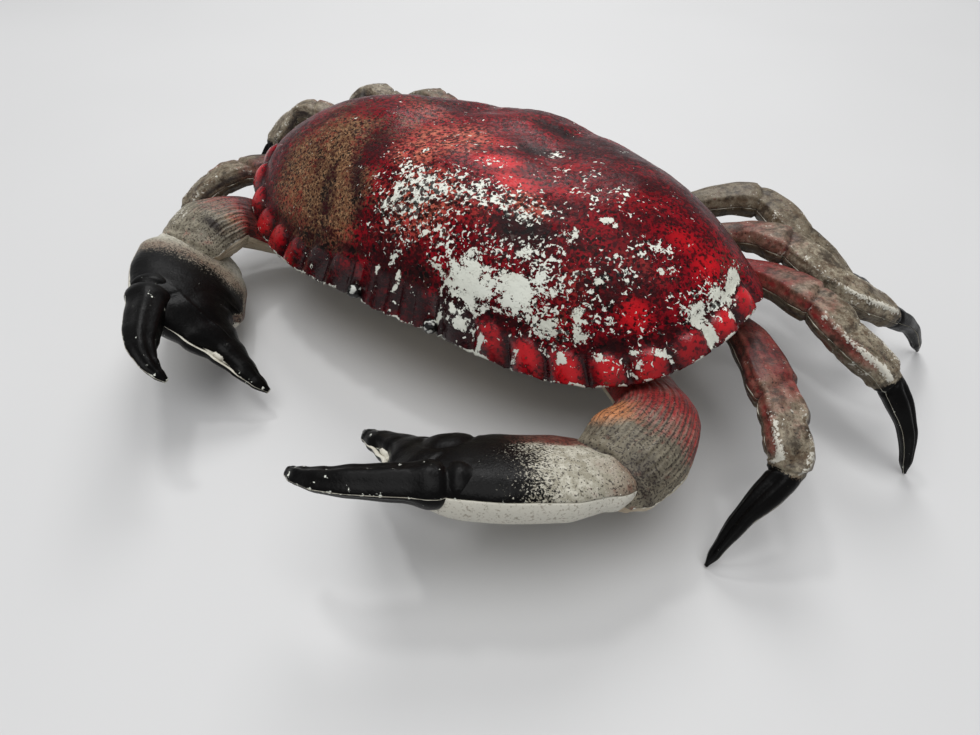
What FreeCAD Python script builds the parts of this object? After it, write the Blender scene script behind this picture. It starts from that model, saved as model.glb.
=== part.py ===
import FreeCAD, Part
import math
import os

# A crab figurine moulded in thin plastic skins. The body and every limb have an
# upper skin and a lower skin, glued along a trimmed edge, and the root of each
# limb is a collar glued into a socket in the lower body skin.
# Millimetres, +Z up, the crab faces -Y. The origin is the middle of the flat
# sternum on which the figurine stands, straight below the widest line of the body.

Vector = FreeCAD.Vector
UP = Vector(0, 0, 1)

SIZES = [
    # body outline
    ("shell_width", 180.0, "upper body skin across its widest line"),
    ("front_depth", 53.3, "widest line to the front edge"),
    ("rear_depth", 60.5, "widest line to the rear edge"),
    ("rim_height", 31.0, "front middle of the rim above the ground"),
    ("rim_sag", 19.3, "fall of the front rim with the square of the share of the half width"),
    ("rim_lift", 29.3, "rise of the front rim with the fourth power of that share"),
    ("rear_drop", 1.0, "rear middle of the rim below the front middle"),
    ("dome_height", 33.8, "crown of the upper skin above the rim"),
    ("crown_reach", 3.4, "half width of the small level patch at the crown"),
    # walls and glue lines
    ("body_wall", 1.5, "thickness of the body skins"),
    ("limb_wall", 1.2, "thickness of the limb skins"),
    ("glue_gap", 0.16, "space for glue between the two skins of a limb"),
    ("socket_clearance", 0.3, "space round a limb root in its socket"),
    ("rim_clearance", 0.3, "space between the two body skins at the rim"),
    # rim modelling
    ("lobe_pitch", 11.6, "length of one pie-crust lobe along the rim"),
    ("lobe_depth", 1.7, "depth of the dips between the lobes"),
    ("lobe_swell", 1.1, "how far a lobe is puffed up"),
    ("lobe_reach", 12.0, "length of a lobe from the rim inwards"),
    ("orbit_offset", 14.5, "middle of the crab to the middle of an eye socket"),
    ("orbit_radius", 3.4, "half width of the notch of an eye socket"),
    ("orbit_depth", 2.6, "depth of that notch"),
    ("eye_radius", 2.3, "radius of an eyeball"),
    ("eye_inset", 2.0, "front edge to the middle of an eyeball"),
    ("eye_lift", 0.9, "middle of an eyeball above the rim"),
    ("tooth_pitch", 5.4, "length of a tooth between the eyes"),
    ("tooth_depth", 0.9, "depth of the dips between those teeth"),
    ("region_relief", 1.5, "height of the raised regions of the back"),
    # lower body skin
    ("sternum_reach", 13.0, "half width of the flat middle of the sternum"),
    ("sternum_relief", 0.9, "depth of the grooves in the sternum"),
    # walking legs
    ("leg_width", 12.4, "width of a leg"),
    ("leg_thickness", 9.4, "thickness of a leg"),
    ("leg_bow", 2.6, "how far the last joint of a leg is bowed"),
    ("tip_clearance", 0.2, "middle of a leg tip above the ground, less its half thickness"),
    # claws
    ("claw_length", 78.0, "wrist to the tip of the moving finger"),
    ("palm_width", 36.0, "palm from its finger side to its back side"),
    ("palm_thickness", 17.0, "thickness of the palm"),
    ("finger_rise", 0.07, "trimmed edge of the moving finger above that of the palm"),
    ("arm_width", 27.0, "width of a claw arm"),
    ("arm_thickness", 16.0, "thickness of a claw arm"),
    ("arm_clearance", 0.3, "space between a claw and the arm let into its base"),
]

doc = FreeCAD.newDocument("CrabFigurine")
sheet = doc.addObject("Spreadsheet::Sheet", "Sizes")
for row_number, (alias, value, note) in enumerate(SIZES, start=1):
    sheet.set("A%d" % row_number, alias)
    sheet.set("B%d" % row_number, str(value))
    sheet.setAlias("B%d" % row_number, alias)
    sheet.set("C%d" % row_number, note)
doc.recompute()


def size(alias):
    return float(sheet.get(alias))


HALF_WIDTH = size("shell_width") / 2
FRONT = size("front_depth")
REAR = size("rear_depth")

# The two halves of the rim are superellipses with these powers.
FRONT_POWER = 2.7
REAR_POWER = 1.6
DOME_POWER = 3.6
# The relief of the back fades out at the rim with this power of the share of the way.
RELIEF_POWER = 8
# Powers of the waves that make the teeth and the lobes plump, and the grooves narrow.
TOOTH_POWER = 0.7
LOBE_POWER = 0.6
# Along a lobe, as shares of its reach: how far the dips of the rim reach in, where the
# lobe is highest and how far that swelling and the groove behind it reach.
DIP_REACH_SHARE = 0.5
PUFF_PLACE_SHARE = 0.4
PUFF_REACH_SHARE = 0.35
GROOVE_REACH_SHARE = 0.25
# The lower skin climbs gently in front, so that it stays out of sight, and steeply
# at the sides and the rear, where the limbs come out.
BOWL_FRONT_POWER = 1.3
BOWL_SIDE_POWER = 2.4

# Error allowed where a fitted surface meets a level face.
FIT_TOLERANCE = 1e-4

# Grooves that cross the sternum towards the legs, and the power that narrows them.
STERNUM_GROOVES = 10
STERNUM_POWER = 6

# The wall of a thin tip never takes up more than the rest of this share of its girth.
TIP_HOLLOW_SHARE = 0.2
# Rise of the bowed last joint of a leg, as a share of the bow.
BOW_RISE_SHARE = 0.5

# Counts of sample columns and rows on the formed skins.
FRONT_COLUMNS = 84
REAR_COLUMNS = 22
DOME_ROWS = 22
BOWL_ROWS = 14
ARC_POINTS = 10
LIMB_ROWS = 30
CLAW_ROWS = 26
CLAW_BEND_REACH = 4
# Rows of a limb that make up its root collar.
SOCKET_ROWS = 11
# How the rows of the body skins crowd towards the rim; 1 spaces them evenly.
DOME_CROWDING = 1.5
BOWL_CROWDING = 1.2

# Raised and sunk regions of the back: place across and fore-and-aft as shares of the
# half width, reach across and fore-and-aft as shares of it, height as a share of the
# region relief. Each one off the middle line is repeated on the other side.
REGION_SHARES = [
    (0.00, -0.22, 0.24, 0.17, 1.0),
    (0.20, -0.36, 0.12, 0.10, 0.6),
    (0.52, -0.26, 0.15, 0.12, 0.6),
    (0.55, 0.10, 0.24, 0.20, 0.7),
    (0.00, 0.20, 0.13, 0.15, 0.9),
    (0.00, 0.44, 0.16, 0.10, 0.5),
    (0.27, -0.02, 0.07, 0.17, -0.9),
    (0.38, -0.24, 0.05, 0.14, -0.6),
    (0.20, 0.26, 0.05, 0.16, -0.7),
]


def outline_point(angle):
    """A point of the plain rim, seen from above; the front half has negative Y."""
    cosine = math.cos(angle)
    sine = math.sin(angle)
    power = FRONT_POWER if sine < 0 else REAR_POWER
    depth = FRONT if sine < 0 else REAR
    stretch = (abs(cosine) ** power + abs(sine) ** power) ** (-1.0 / power)
    return Vector(HALF_WIDTH * cosine * stretch, depth * sine * stretch, 0)


def rim_level(point):
    """Height of the rim above the ground at a point of the outline."""
    share = min(abs(point.x) / HALF_WIDTH, 1.0)
    base = size("rim_height")
    if point.y < 0:
        return base - size("rim_sag") * share ** 2 + size("rim_lift") * share ** 4
    corner = base - size("rim_sag") + size("rim_lift")
    return corner * share ** 2 + (base - size("rear_drop")) * (1 - share ** 2)


def even_marks(start, stop, count):
    """Outline points at even steps of length between two angles, with their lengths."""
    fine = 40 * count
    points = [outline_point(start + (stop - start) * k / fine) for k in range(fine + 1)]
    lengths = [0.0]
    for before, after in zip(points, points[1:]):
        lengths.append(lengths[-1] + before.distanceToPoint(after))
    marks = []
    place = 0
    for step in range(count + 1):
        wanted = lengths[-1] * step / count
        while place < fine and lengths[place] < wanted - lengths[1] / 2:
            place += 1
        marks.append((points[place], lengths[place], lengths[-1]))
    return marks


def bell(value, middle, reach):
    """1 at the middle, falling away smoothly to either side over the reach."""
    return math.exp(-((value - middle) / reach) ** 2)


def crimp(along, total):
    """Lobes, teeth and eye sockets of the front rim: depth of the dip and lobe height."""
    orbit = size("orbit_offset")
    dip = size("orbit_depth") * bell(along, orbit, size("orbit_radius"))
    if along < orbit - size("orbit_radius"):
        wave = abs(math.cos(math.pi * along / size("tooth_pitch"))) ** TOOTH_POWER
        return dip + size("tooth_depth") * (1 - wave), 0.0
    start = orbit + size("orbit_radius")
    if along < start:
        return dip, 0.0
    count = max(1, round((total - start) / size("lobe_pitch")))
    phase = (along - start) / (total - start) * count
    wave = abs(math.sin(math.pi * phase)) ** LOBE_POWER
    return dip + size("lobe_depth") * (1 - wave), wave


def rim_columns():
    """The rim once round from the rear middle: point, outward direction, dip and lobe height."""
    front = even_marks(-math.pi / 2, 0, FRONT_COLUMNS)
    rear = even_marks(0, math.pi / 2, REAR_COLUMNS)
    half = []
    for point, along, total in front:
        depth, lobe = crimp(along, total)
        half.append((point, depth, lobe))
    for point, along, total in rear[1:]:
        half.append((point, 0.0, 0.0))
    ring = [(Vector(-point.x, point.y, 0), depth, lobe) for point, depth, lobe in half]
    ring = ring[::-1] + half[1:]
    columns = []
    for place, (point, depth, lobe) in enumerate(ring):
        before = ring[place - 1][0] if place > 0 else ring[-2][0]
        after = ring[place + 1][0] if place < len(ring) - 1 else ring[1][0]
        along = (after - before).normalize()
        outward = Vector(along.y, -along.x, 0)
        columns.append((Vector(point.x, point.y, rim_level(point)), outward, depth, lobe))
    return columns


def dipped(x, y, share, column):
    """A place on a column, drawn in by the dips of the rim where it is near the rim."""
    rim, outward, depth, lobe = column
    inset = (1 - share) * math.hypot(rim.x, rim.y)
    draw = depth * bell(inset, 0.0, size("lobe_reach") * DIP_REACH_SHARE)
    return x - outward.x * draw, y - outward.y * draw


def region_rise(x, y):
    """Height that the raised and sunk regions add to the back."""
    rise = 0.0
    for across, fore, reach_x, reach_y, height in REGION_SHARES:
        for side in ((1, -1) if across else (1,)):
            u = (x / HALF_WIDTH - side * across) / reach_x
            v = (y / HALF_WIDTH - fore) / reach_y
            rise += height * math.exp(-u * u - v * v)
    return rise * size("region_relief")


def grid_normals(grid):
    """Outward directions on a closed grid of columns, from its differences."""
    normals = []
    count = len(grid)
    for i in range(count):
        before = grid[i - 1] if i > 0 else grid[-2]
        after = grid[i + 1] if i < count - 1 else grid[1]
        line = []
        for j in range(len(grid[i])):
            low = max(j - 1, 0)
            high = min(j + 1, len(grid[i]) - 1)
            across = after[j] - before[j]
            outward = grid[i][high] - grid[i][low]
            line.append(outward.cross(across).normalize())
        normals.append(line)
    return normals


def fitted_surface(grid):
    surface = Part.BSplineSurface()
    surface.interpolate(grid)
    return surface


def sewn_solid(faces):
    """One closed solid from faces that meet edge to edge."""
    shape = Part.Compound(faces)
    shape.sewShape()
    shell = shape.Shells[0]
    solid = Part.Solid(shell)
    if solid.Volume < 0:
        solid.reverse()
    return solid


def level_patch(edge):
    """The level face inside a closed edge that is flat to within the fitting error."""
    edge.fixTolerance(FIT_TOLERANCE)
    patch = Part.Face(Part.Plane(edge.Vertexes[0].Point, UP), Part.Wire([edge]))
    patch.fix(FIT_TOLERANCE, FIT_TOLERANCE, FIT_TOLERANCE)
    return patch


def bowl_solid(outer_grid, inner_grid):
    """A formed skin: columns run from the level patch in the middle to the rim."""
    outer = fitted_surface(outer_grid)
    inner = fitted_surface(inner_grid)
    faces = [outer.toShape(), inner.toShape()]
    bounds = outer.bounds()
    for surface in (outer, inner):
        faces.append(level_patch(surface.vIso(bounds[2]).toShape()))
    rim_outer = outer.vIso(bounds[3]).toShape()
    rim_inner = inner.vIso(bounds[3]).toShape()
    faces.append(Part.makeRuledSurface(rim_outer, rim_inner))
    return sewn_solid(faces)


def spread(start, stop, count, crowding):
    """Shares from start to stop, crowded towards stop."""
    steps = [1 - (1 - k / (count - 1)) ** crowding for k in range(count)]
    return [start + (stop - start) * step for step in steps]


def upper_skin_shape():
    columns = rim_columns()
    base = size("rim_height")
    shares = spread(size("crown_reach") / HALF_WIDTH, 1.0, DOME_ROWS, DOME_CROWDING)
    reach = size("lobe_reach")
    crown = base + size("dome_height") + region_rise(0, 0)
    outer = []
    for column in columns:
        rim, outward, depth, lobe = column
        line = []
        for share in shares:
            x, y = dipped(rim.x * share, rim.y * share, share, column)
            level = base + (rim.z - base) * share ** 2
            level += size("dome_height") * (1 - share ** DOME_POWER)
            level += region_rise(x, y) * (1 - share ** RELIEF_POWER)
            inset = (1 - share) * math.hypot(rim.x, rim.y)
            puff = (lobe - 0.5) * bell(inset, reach * PUFF_PLACE_SHARE, reach * PUFF_REACH_SHARE)
            groove = bell(inset, reach, reach * GROOVE_REACH_SHARE) / 2
            level += size("lobe_swell") * (puff - groove * (rim.y < 0))
            line.append(Vector(x, y, level))
        line[0] = Vector(line[0].x, line[0].y, crown)
        outer.append(line)
    outer[-1] = [Vector(point) for point in outer[0]]
    normals = grid_normals(outer)
    wall = size("body_wall")
    inner = []
    for line, directions in zip(outer, normals):
        row = [point - direction * wall for point, direction in zip(line, directions)]
        row[0] = line[0] - UP * wall
        inner.append(row)
    inner[-1] = [Vector(point) for point in inner[0]]
    return bowl_solid(outer, inner)


def lower_skin_shape():
    columns = rim_columns()
    inset = size("body_wall") + size("rim_clearance")
    first = size("sternum_reach") / HALF_WIDTH
    shares = spread(first, 1.0, BOWL_ROWS, BOWL_CROWDING)
    outer = []
    for column in columns:
        rim, outward, depth, lobe = column
        edge = rim - outward * inset
        turn = math.atan2(edge.y, edge.x)
        forward = max(0.0, -math.sin(turn)) ** 3
        power = BOWL_SIDE_POWER + (BOWL_FRONT_POWER - BOWL_SIDE_POWER) * forward
        flute = math.cos(STERNUM_GROOVES / 2 * turn) ** STERNUM_POWER
        line = []
        for share in shares:
            climb = (share - first) / (1 - first)
            fade = math.sin(math.pi * min(1.0, 2 * climb)) ** 2
            level = edge.z * climb ** power + size("sternum_relief") * fade * flute
            x, y = dipped(edge.x * share, edge.y * share, share, column)
            line.append(Vector(x, y, level))
        outer.append(line)
    outer[-1] = [Vector(point) for point in outer[0]]
    normals = grid_normals(outer)
    wall = size("body_wall")
    inner = []
    for line, directions in zip(outer, normals):
        row = [point + direction * wall for point, direction in zip(line, directions)]
        row[0] = line[0] + UP * wall
        inner.append(row)
    inner[-1] = [Vector(point) for point in inner[0]]
    return bowl_solid(outer, inner)


class Station:
    """One cross-section of a limb: its middle, half width, height above and below."""

    def __init__(self, centre, half, top, bottom):
        self.centre = centre
        self.half = half
        self.top = top
        self.bottom = bottom
        self.side = None
        self.up = None


def blended(before, first, second, after, share):
    """Catmull-Rom value between first and second."""
    leave = (second - before) / 2
    arrive = (after - first) / 2
    step = second - first
    bend = step * 3 - leave * 2 - arrive
    twist = leave + arrive - step * 2
    return first + leave * share + bend * share ** 2 + twist * share ** 3


def along_path(points, place):
    """A point at a place counted in whole segments along a list of points."""
    segment = min(int(place), len(points) - 2)
    share = place - segment
    before = points[max(segment - 1, 0)]
    after = points[min(segment + 2, len(points) - 1)]
    return blended(before, points[segment], points[segment + 1], after, share)


def filled_stations(points, girths, count):
    """Even stations along a path. girths: (place, half width, top, bottom)."""
    last = len(points) - 1
    stations = []
    for k in range(count):
        place = last * k / (count - 1)
        centre = along_path(points, place)
        below = [g for g in girths if g[0] <= place][-1]
        index = girths.index(below)
        above = girths[min(index + 1, len(girths) - 1)]
        gap = above[0] - below[0]
        share = (place - below[0]) / gap if gap > 0 else 0.0
        ease = share * share * (3 - 2 * share)
        half, top, bottom = [below[n] + (above[n] - below[n]) * ease for n in (1, 2, 3)]
        stations.append(Station(centre, half, top, bottom))
    return stations


def set_frames(stations, fixed_up=None):
    """Side and up directions of each station, square to the path.

    A claw is wide where it bends, so there the path's run is taken over more stations, or
    the cross-sections would meet on the inside of the bend.
    """
    reach = CLAW_BEND_REACH if fixed_up else 1
    for place, station in enumerate(stations):
        before = stations[max(place - reach, 0)].centre
        after = stations[min(place + reach, len(stations) - 1)].centre
        ahead = (after - before).normalize()
        guide = fixed_up if fixed_up else UP
        station.side = ahead.cross(guide).normalize()
        station.up = guide if fixed_up else station.side.cross(ahead).normalize()


def rim_of_section(station, angle, grow):
    """A point of a cross-section at an angle, swollen by grow; negative sines lie below."""
    across = math.cos(angle) * max(station.half + grow, station.half * TIP_HOLLOW_SHARE)
    sine = math.sin(angle)
    height = station.top if sine >= 0 else station.bottom
    rise = sine * max(height + grow, height * TIP_HOLLOW_SHARE)
    return station.centre + station.side * across + station.up * rise


def arc_row(station, upward, grow):
    """Points of one half of a cross-section, set off by half the glue gap."""
    shift = station.up * (upward * size("glue_gap") / 2)
    angles = [upward * math.pi * k / ARC_POINTS for k in range(ARC_POINTS + 1)]
    return [rim_of_section(station, angle, grow) + shift for angle in angles]


def ring_row(station, grow):
    """Points once round a cross-section, from one parting edge back to it."""
    count = 2 * ARC_POINTS
    row = [rim_of_section(station, 2 * math.pi * k / count, grow) for k in range(count)]
    row.append(Vector(row[0]))
    return row


def half_skin(stations, upward):
    """One hollow half of a limb, open at its root and nearly closed at its tip."""
    outer = fitted_surface([arc_row(s, upward, 0.0) for s in stations])
    inner = fitted_surface([arc_row(s, upward, -size("limb_wall")) for s in stations])
    u0, u1, v0, v1 = outer.bounds()
    faces = [outer.toShape(), inner.toShape()]
    for edge in (v0, v1):
        faces.append(Part.makeRuledSurface(outer.vIso(edge).toShape(), inner.vIso(edge).toShape()))
    for edge in (u0, u1):
        faces.append(Part.makeRuledSurface(outer.uIso(edge).toShape(), inner.uIso(edge).toShape()))
    return sewn_solid(faces)


def plug_solid(stations, grow):
    """A full stretch of a limb, swollen by grow, used to cut the room for it."""
    surface = fitted_surface([ring_row(station, grow) for station in stations])
    u0, u1, v0, v1 = surface.bounds()
    faces = [surface.toShape()]
    for edge in (u0, u1):
        faces.append(Part.Face(Part.Wire([surface.uIso(edge).toShape()])))
    return sewn_solid(faces)


# Walking legs from front to rear. Each point: outwards as a share of the half width,
# fore-and-aft as a share of it, height as a share of the rim height.
# Points: root, edge of the body, knee, wrist, ankle. The tip has a place only.
LEG_ROOT_SHARES = {
    "leg_1": [(0.68, 0.03, 0.83), (0.95, 0.01, 0.94)],
    "leg_2": [(0.62, 0.19, 0.83), (0.87, 0.30, 1.00)],
    "leg_3": [(0.48, 0.30, 0.83), (0.75, 0.48, 1.04)],
    "leg_4": [(0.31, 0.39, 0.80), (0.53, 0.61, 1.02)],
}
LEG_WAY_SHARES = {
    ("left", "leg_1"): ([(1.15, -0.24, 1.02), (1.22, -0.35, 0.97), (1.265, -0.42, 0.76)],
                        (1.182, -0.641)),
    ("left", "leg_2"): ([(1.125, 0.16, 1.19), (1.256, 0.09, 1.10), (1.402, 0.075, 0.87)],
                        (1.572, 0.038)),
    ("left", "leg_3"): ([(0.953, 0.44, 1.18), (1.164, 0.37, 1.06), (1.326, 0.44, 0.82)],
                        (1.489, 0.699)),
    ("left", "leg_4"): ([(0.765, 0.70, 1.17), (0.985, 0.57, 1.07), (1.15, 0.57, 0.80)],
                        (1.27, 0.90)),
    ("right", "leg_1"): ([(1.10, -0.21, 1.02), (1.15, -0.33, 0.97), (1.20, -0.44, 0.72)],
                        (1.13, -0.63)),
    ("right", "leg_2"): ([(1.16, 0.27, 1.23), (1.26, 0.24, 1.12), (1.32, 0.14, 0.82)],
                        (1.33, -0.04)),
    ("right", "leg_3"): ([(0.93, 0.51, 1.30), (1.09, 0.56, 1.26), (1.22, 0.59, 0.88)],
                        (1.31, 0.74)),
    ("right", "leg_4"): ([(0.75, 0.67, 1.24), (0.90, 0.74, 1.16), (1.02, 0.80, 0.90)],
                        (1.10, 0.98)),
}

# Girth along a leg: place in segments, then width and thickness as shares of the leg's.
LEG_GIRTH_SHARES = [
    (0.0, 0.72, 0.80), (1.0, 0.82, 0.86), (1.5, 0.98, 1.00), (1.85, 1.02, 1.00),
    (2.05, 0.88, 0.90), (2.5, 1.00, 1.00), (2.95, 0.88, 0.90), (3.4, 0.98, 0.98),
    (3.9, 0.78, 0.84), (4.05, 0.66, 0.74), (4.4, 0.62, 0.66), (5.0, 0.42, 0.46),
    (5.6, 0.26, 0.30), (6.0, 0.08, 0.10),
]

# Wrist of each claw, given for +X: outwards and forwards as shares of the half width,
# height as a share of the rim height, then heading and tilt in degrees.
CLAW_PLACE_SHARES = {
    "left": (0.919, -0.724, 0.810, 209.1, 30.7),
    "right": (0.998, -0.640, 0.723, 214.3, 41.5),
}

# Middle lines of the palm with its fixed finger, and of the moving finger, in the plane
# of a claw. Each point: along as a share of the claw length, across as a share of the
# palm width, half width as a share of it, height above the parting plane and depth
# below it as shares of the palm thickness. The base of the palm, which the arm is let
# into, lies along by shares of the palm width instead.
PALM_BASE_SHARES = [(-0.087, 0.17, 0.26, 0.26, 0.28), (0.13, 0.15, 0.42, 0.38, 0.46)]
PALM_SHARES = [
    (0.20, 0.07, 0.51, 0.44, 0.58),
    (0.36, 0.00, 0.515, 0.44, 0.60), (0.46, -0.033, 0.49, 0.42, 0.58), (0.55, -0.02, 0.42, 0.38, 0.48),
    (0.63, 0.12, 0.30, 0.30, 0.34), (0.70, 0.26, 0.20, 0.23, 0.22), (0.77, 0.385, 0.135, 0.19, 0.15),
    (0.83, 0.50, 0.080, 0.13, 0.10), (0.866, 0.605, 0.022, 0.05, 0.04),
]
FINGER_SHARES = [
    (0.42, -0.30, 0.17, 0.32, 0.28), (0.53, -0.36, 0.185, 0.34, 0.24), (0.65, -0.41, 0.150, 0.31, 0.155),
    (0.77, -0.445, 0.135, 0.27, 0.12), (0.86, -0.450, 0.110, 0.21, 0.09), (0.93, -0.40, 0.080, 0.15, 0.065),
    (0.97, -0.335, 0.050, 0.10, 0.06), (0.99, -0.270, 0.020, 0.05, 0.03),
]

# Middle line of each claw arm, given for +X, in the same shares as a leg's.
ARM_PATH_SHARES = {
    "left": [(0.622, -0.20, 0.548), (0.811, -0.311, 0.565), (0.894, -0.456, 0.742),
             (0.90, -0.60, 0.79), (0.883, -0.70, 0.76), (0.867, -0.768, 0.75)],
    "right": [(0.622, -0.20, 0.548), (0.822, -0.30, 0.565), (0.922, -0.422, 0.806),
              (0.939, -0.544, 0.871), (0.933, -0.644, 0.823), (0.922, -0.717, 0.774)],
}

# Girth along an arm: place in segments, half width as a share of the arm width, height
# above and depth below the middle line as shares of the arm thickness.
ARM_GIRTH_SHARES = [
    (0.0, 0.30, 0.40, 0.40), (1.0, 0.35, 0.43, 0.43), (2.0, 0.43, 0.50, 0.50), (3.0, 0.50, 0.54, 0.54),
    (4.0, 0.46, 0.48, 0.46), (4.6, 0.36, 0.36, 0.34), (4.9, 0.20, 0.22, 0.20), (5.0, 0.05, 0.06, 0.06),
]


def on_body(outwards, fore, height, side):
    """A place given as shares of the half width and of the rim height."""
    return Vector(side * outwards * HALF_WIDTH, fore * HALF_WIDTH, height * size("rim_height"))


def leg_stations(name, leg, side):
    way_shares, tip_share = LEG_WAY_SHARES[(name, leg)]
    points = [on_body(*shares, side) for shares in LEG_ROOT_SHARES[leg] + way_shares]
    tip = on_body(tip_share[0], tip_share[1], 0.0, side)
    tip.z = size("tip_clearance") + LEG_GIRTH_SHARES[-1][2] * size("leg_thickness") / 2
    ankle = points[-1]
    outward = Vector(tip.x - ankle.x, tip.y - ankle.y, 0)
    bulge = outward.normalize() * size("leg_bow") + UP * size("leg_bow") * BOW_RISE_SHARE
    points.append((ankle + tip) / 2 + bulge)
    points.append(tip)
    girths = []
    for place, width, thickness in LEG_GIRTH_SHARES:
        rise = thickness * size("leg_thickness") / 2
        girths.append((place, width * size("leg_width") / 2, rise, rise))
    stations = filled_stations(points, girths, LIMB_ROWS)
    set_frames(stations)
    return stations


def claw_axes(name, side):
    """Wrist, direction along the claw, direction across it and its upper normal."""
    outwards, fore, height, heading, tilt = CLAW_PLACE_SHARES[name]
    turn = math.radians(heading)
    lean = math.radians(tilt)
    wrist = on_body(outwards, fore, height, side)
    ahead = Vector(side * math.cos(turn), math.sin(turn), 0)
    level = Vector(side * math.sin(turn), -math.cos(turn), 0)
    across = level * math.cos(lean) - UP * math.sin(lean)
    normal = level * math.sin(lean) + UP * math.cos(lean)
    return wrist, ahead, across, normal


def plane_stations(name, side, base_table, table, lift):
    """Stations of a claw in its plane, raised by lift; the base keeps to the palm width."""
    wrist, ahead, across, normal = claw_axes(name, side)
    width = size("palm_width")
    thickness = size("palm_thickness")
    rows = [(along * width, *rest) for along, *rest in base_table]
    rows += [(along * size("claw_length"), *rest) for along, *rest in table]
    points = []
    girths = []
    for place, (reach, aside, half, top, bottom) in enumerate(rows):
        points.append(wrist + ahead * reach + across * (aside * width) + normal * lift)
        girths.append((place, half * width, top * thickness, bottom * thickness))
    stations = filled_stations(points, girths, CLAW_ROWS)
    set_frames(stations, normal)
    return stations


def arm_stations(name, side):
    points = [on_body(*shares, side) for shares in ARM_PATH_SHARES[name]]
    girths = []
    for place, half, top, bottom in ARM_GIRTH_SHARES:
        thickness = size("arm_thickness")
        girths.append((place, half * size("arm_width"), top * thickness, bottom * thickness))
    stations = filled_stations(points, girths, LIMB_ROWS)
    set_frames(stations)
    return stations


def feature(label, shape):
    """A document object that holds a formed shape."""
    item = doc.addObject("Part::Feature", label)
    item.Label = label
    item.Shape = shape
    return item


def boolean(kind, label, **links):
    """A boolean of document objects; the formed faces are kept as they come."""
    item = doc.addObject(kind, label)
    item.Label = label
    item.Refine = False
    for key, value in links.items():
        setattr(item, key, value)
    return item


def sphere(label, place, radius_alias):
    item = doc.addObject("Part::Sphere", label)
    item.Label = label
    item.setExpression("Radius", "Sizes." + radius_alias)
    item.Placement.Base = place
    return item


def make_limb(title, stations):
    """Upper and lower skin of a leg or an arm."""
    for half, upward in (("upper", 1), ("lower", -1)):
        nodes.append(feature("%s_%s_skin" % (title, half), half_skin(stations, upward)))


def make_claw(name, side, arm):
    """Both skins of a claw, notched at the base where the arm is let in."""
    seat = feature(name + "_arm_seat", plug_solid(arm[SOCKET_ROWS:], size("arm_clearance")))
    for half, upward in (("upper", 1), ("lower", -1)):
        title = "%s_claw_%s" % (name, half)
        palm_line = plane_stations(name, side, PALM_BASE_SHARES, PALM_SHARES, 0.0)
        finger_line = plane_stations(name, side, [], FINGER_SHARES, upward * size("finger_rise"))
        palm = half_skin(palm_line, upward)
        finger = half_skin(finger_line, upward)
        pieces = [feature(title + "_palm", palm), feature(title + "_finger", finger)]
        hand = boolean("Part::MultiFuse", title + "_hand", Shapes=pieces)
        nodes.append(boolean("Part::Cut", title + "_skin", Base=hand, Tool=seat))


nodes = []
sockets = []

for name, side in (("left", 1), ("right", -1)):
    room = size("socket_clearance")
    arm = arm_stations(name, side)
    make_limb(name + "_arm", arm)
    sockets.append(feature(name + "_arm_socket", plug_solid(arm[:SOCKET_ROWS], room)))
    make_claw(name, side, arm)
    for leg in sorted(LEG_ROOT_SHARES):
        title = name + "_" + leg
        stations = leg_stations(name, leg, side)
        make_limb(title, stations)
        sockets.append(feature(title + "_socket", plug_solid(stations[:SOCKET_ROWS], room)))

formed_upper = feature("formed_upper_skin", upper_skin_shape())
eyes = []
for name, side in (("left", 1), ("right", -1)):
    level = rim_level(Vector(side * size("orbit_offset"), -FRONT, 0)) + size("eye_lift")
    place = Vector(side * size("orbit_offset"), size("eye_inset") - FRONT, level)
    eyes.append(sphere(name + "_eye", place, "eye_radius"))
nodes.append(boolean("Part::MultiFuse", "upper_body_skin", Shapes=[formed_upper] + eyes))

formed_lower = feature("formed_lower_skin", lower_skin_shape())
body = formed_lower
for count, socket in enumerate(sockets, start=1):
    label = "lower_body_skin" if count == len(sockets) else "lower_skin_cut_%d" % count
    body = boolean("Part::Cut", label, Base=body, Tool=socket)
nodes.append(body)

doc.recompute()
for item in doc.Objects:
    if "Invalid" in item.State or "Error" in item.State:
        raise RuntimeError(item.Label + " was not made")
    if hasattr(item, "Shape") and (item.Shape.isNull() or not item.Shape.isValid()):
        raise RuntimeError(item.Label + " is not a sound shape")
for item in nodes:
    if len(item.Shape.Solids) != 1:
        raise RuntimeError(item.Label + " is not one solid")

os.makedirs("parts", exist_ok=True)
for item in nodes:
    item.Shape.exportStep(os.path.join("parts", item.Label + ".step"))
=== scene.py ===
import math
import bmesh
import bpy
from mathutils import Matrix, Vector, noise


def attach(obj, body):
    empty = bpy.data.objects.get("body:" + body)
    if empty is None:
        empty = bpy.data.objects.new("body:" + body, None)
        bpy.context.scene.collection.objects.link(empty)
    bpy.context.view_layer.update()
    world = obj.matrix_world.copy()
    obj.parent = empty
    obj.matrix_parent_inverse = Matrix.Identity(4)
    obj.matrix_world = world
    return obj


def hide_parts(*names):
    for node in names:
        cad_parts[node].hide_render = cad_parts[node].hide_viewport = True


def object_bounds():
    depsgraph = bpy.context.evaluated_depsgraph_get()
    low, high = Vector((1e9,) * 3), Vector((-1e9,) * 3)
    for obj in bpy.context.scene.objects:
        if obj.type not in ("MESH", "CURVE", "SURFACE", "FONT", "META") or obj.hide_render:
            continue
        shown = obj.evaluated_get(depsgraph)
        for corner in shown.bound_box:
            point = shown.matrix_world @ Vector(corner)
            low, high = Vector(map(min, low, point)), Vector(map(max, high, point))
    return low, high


# Crab figurine: painted upper skins over pale lower skins, glued along trimmed edges.
# All sizes here are millimetres, and MM turns them into metres when a piece is made.
MM = 0.001
UP = Vector((0, 0, 1))

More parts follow.
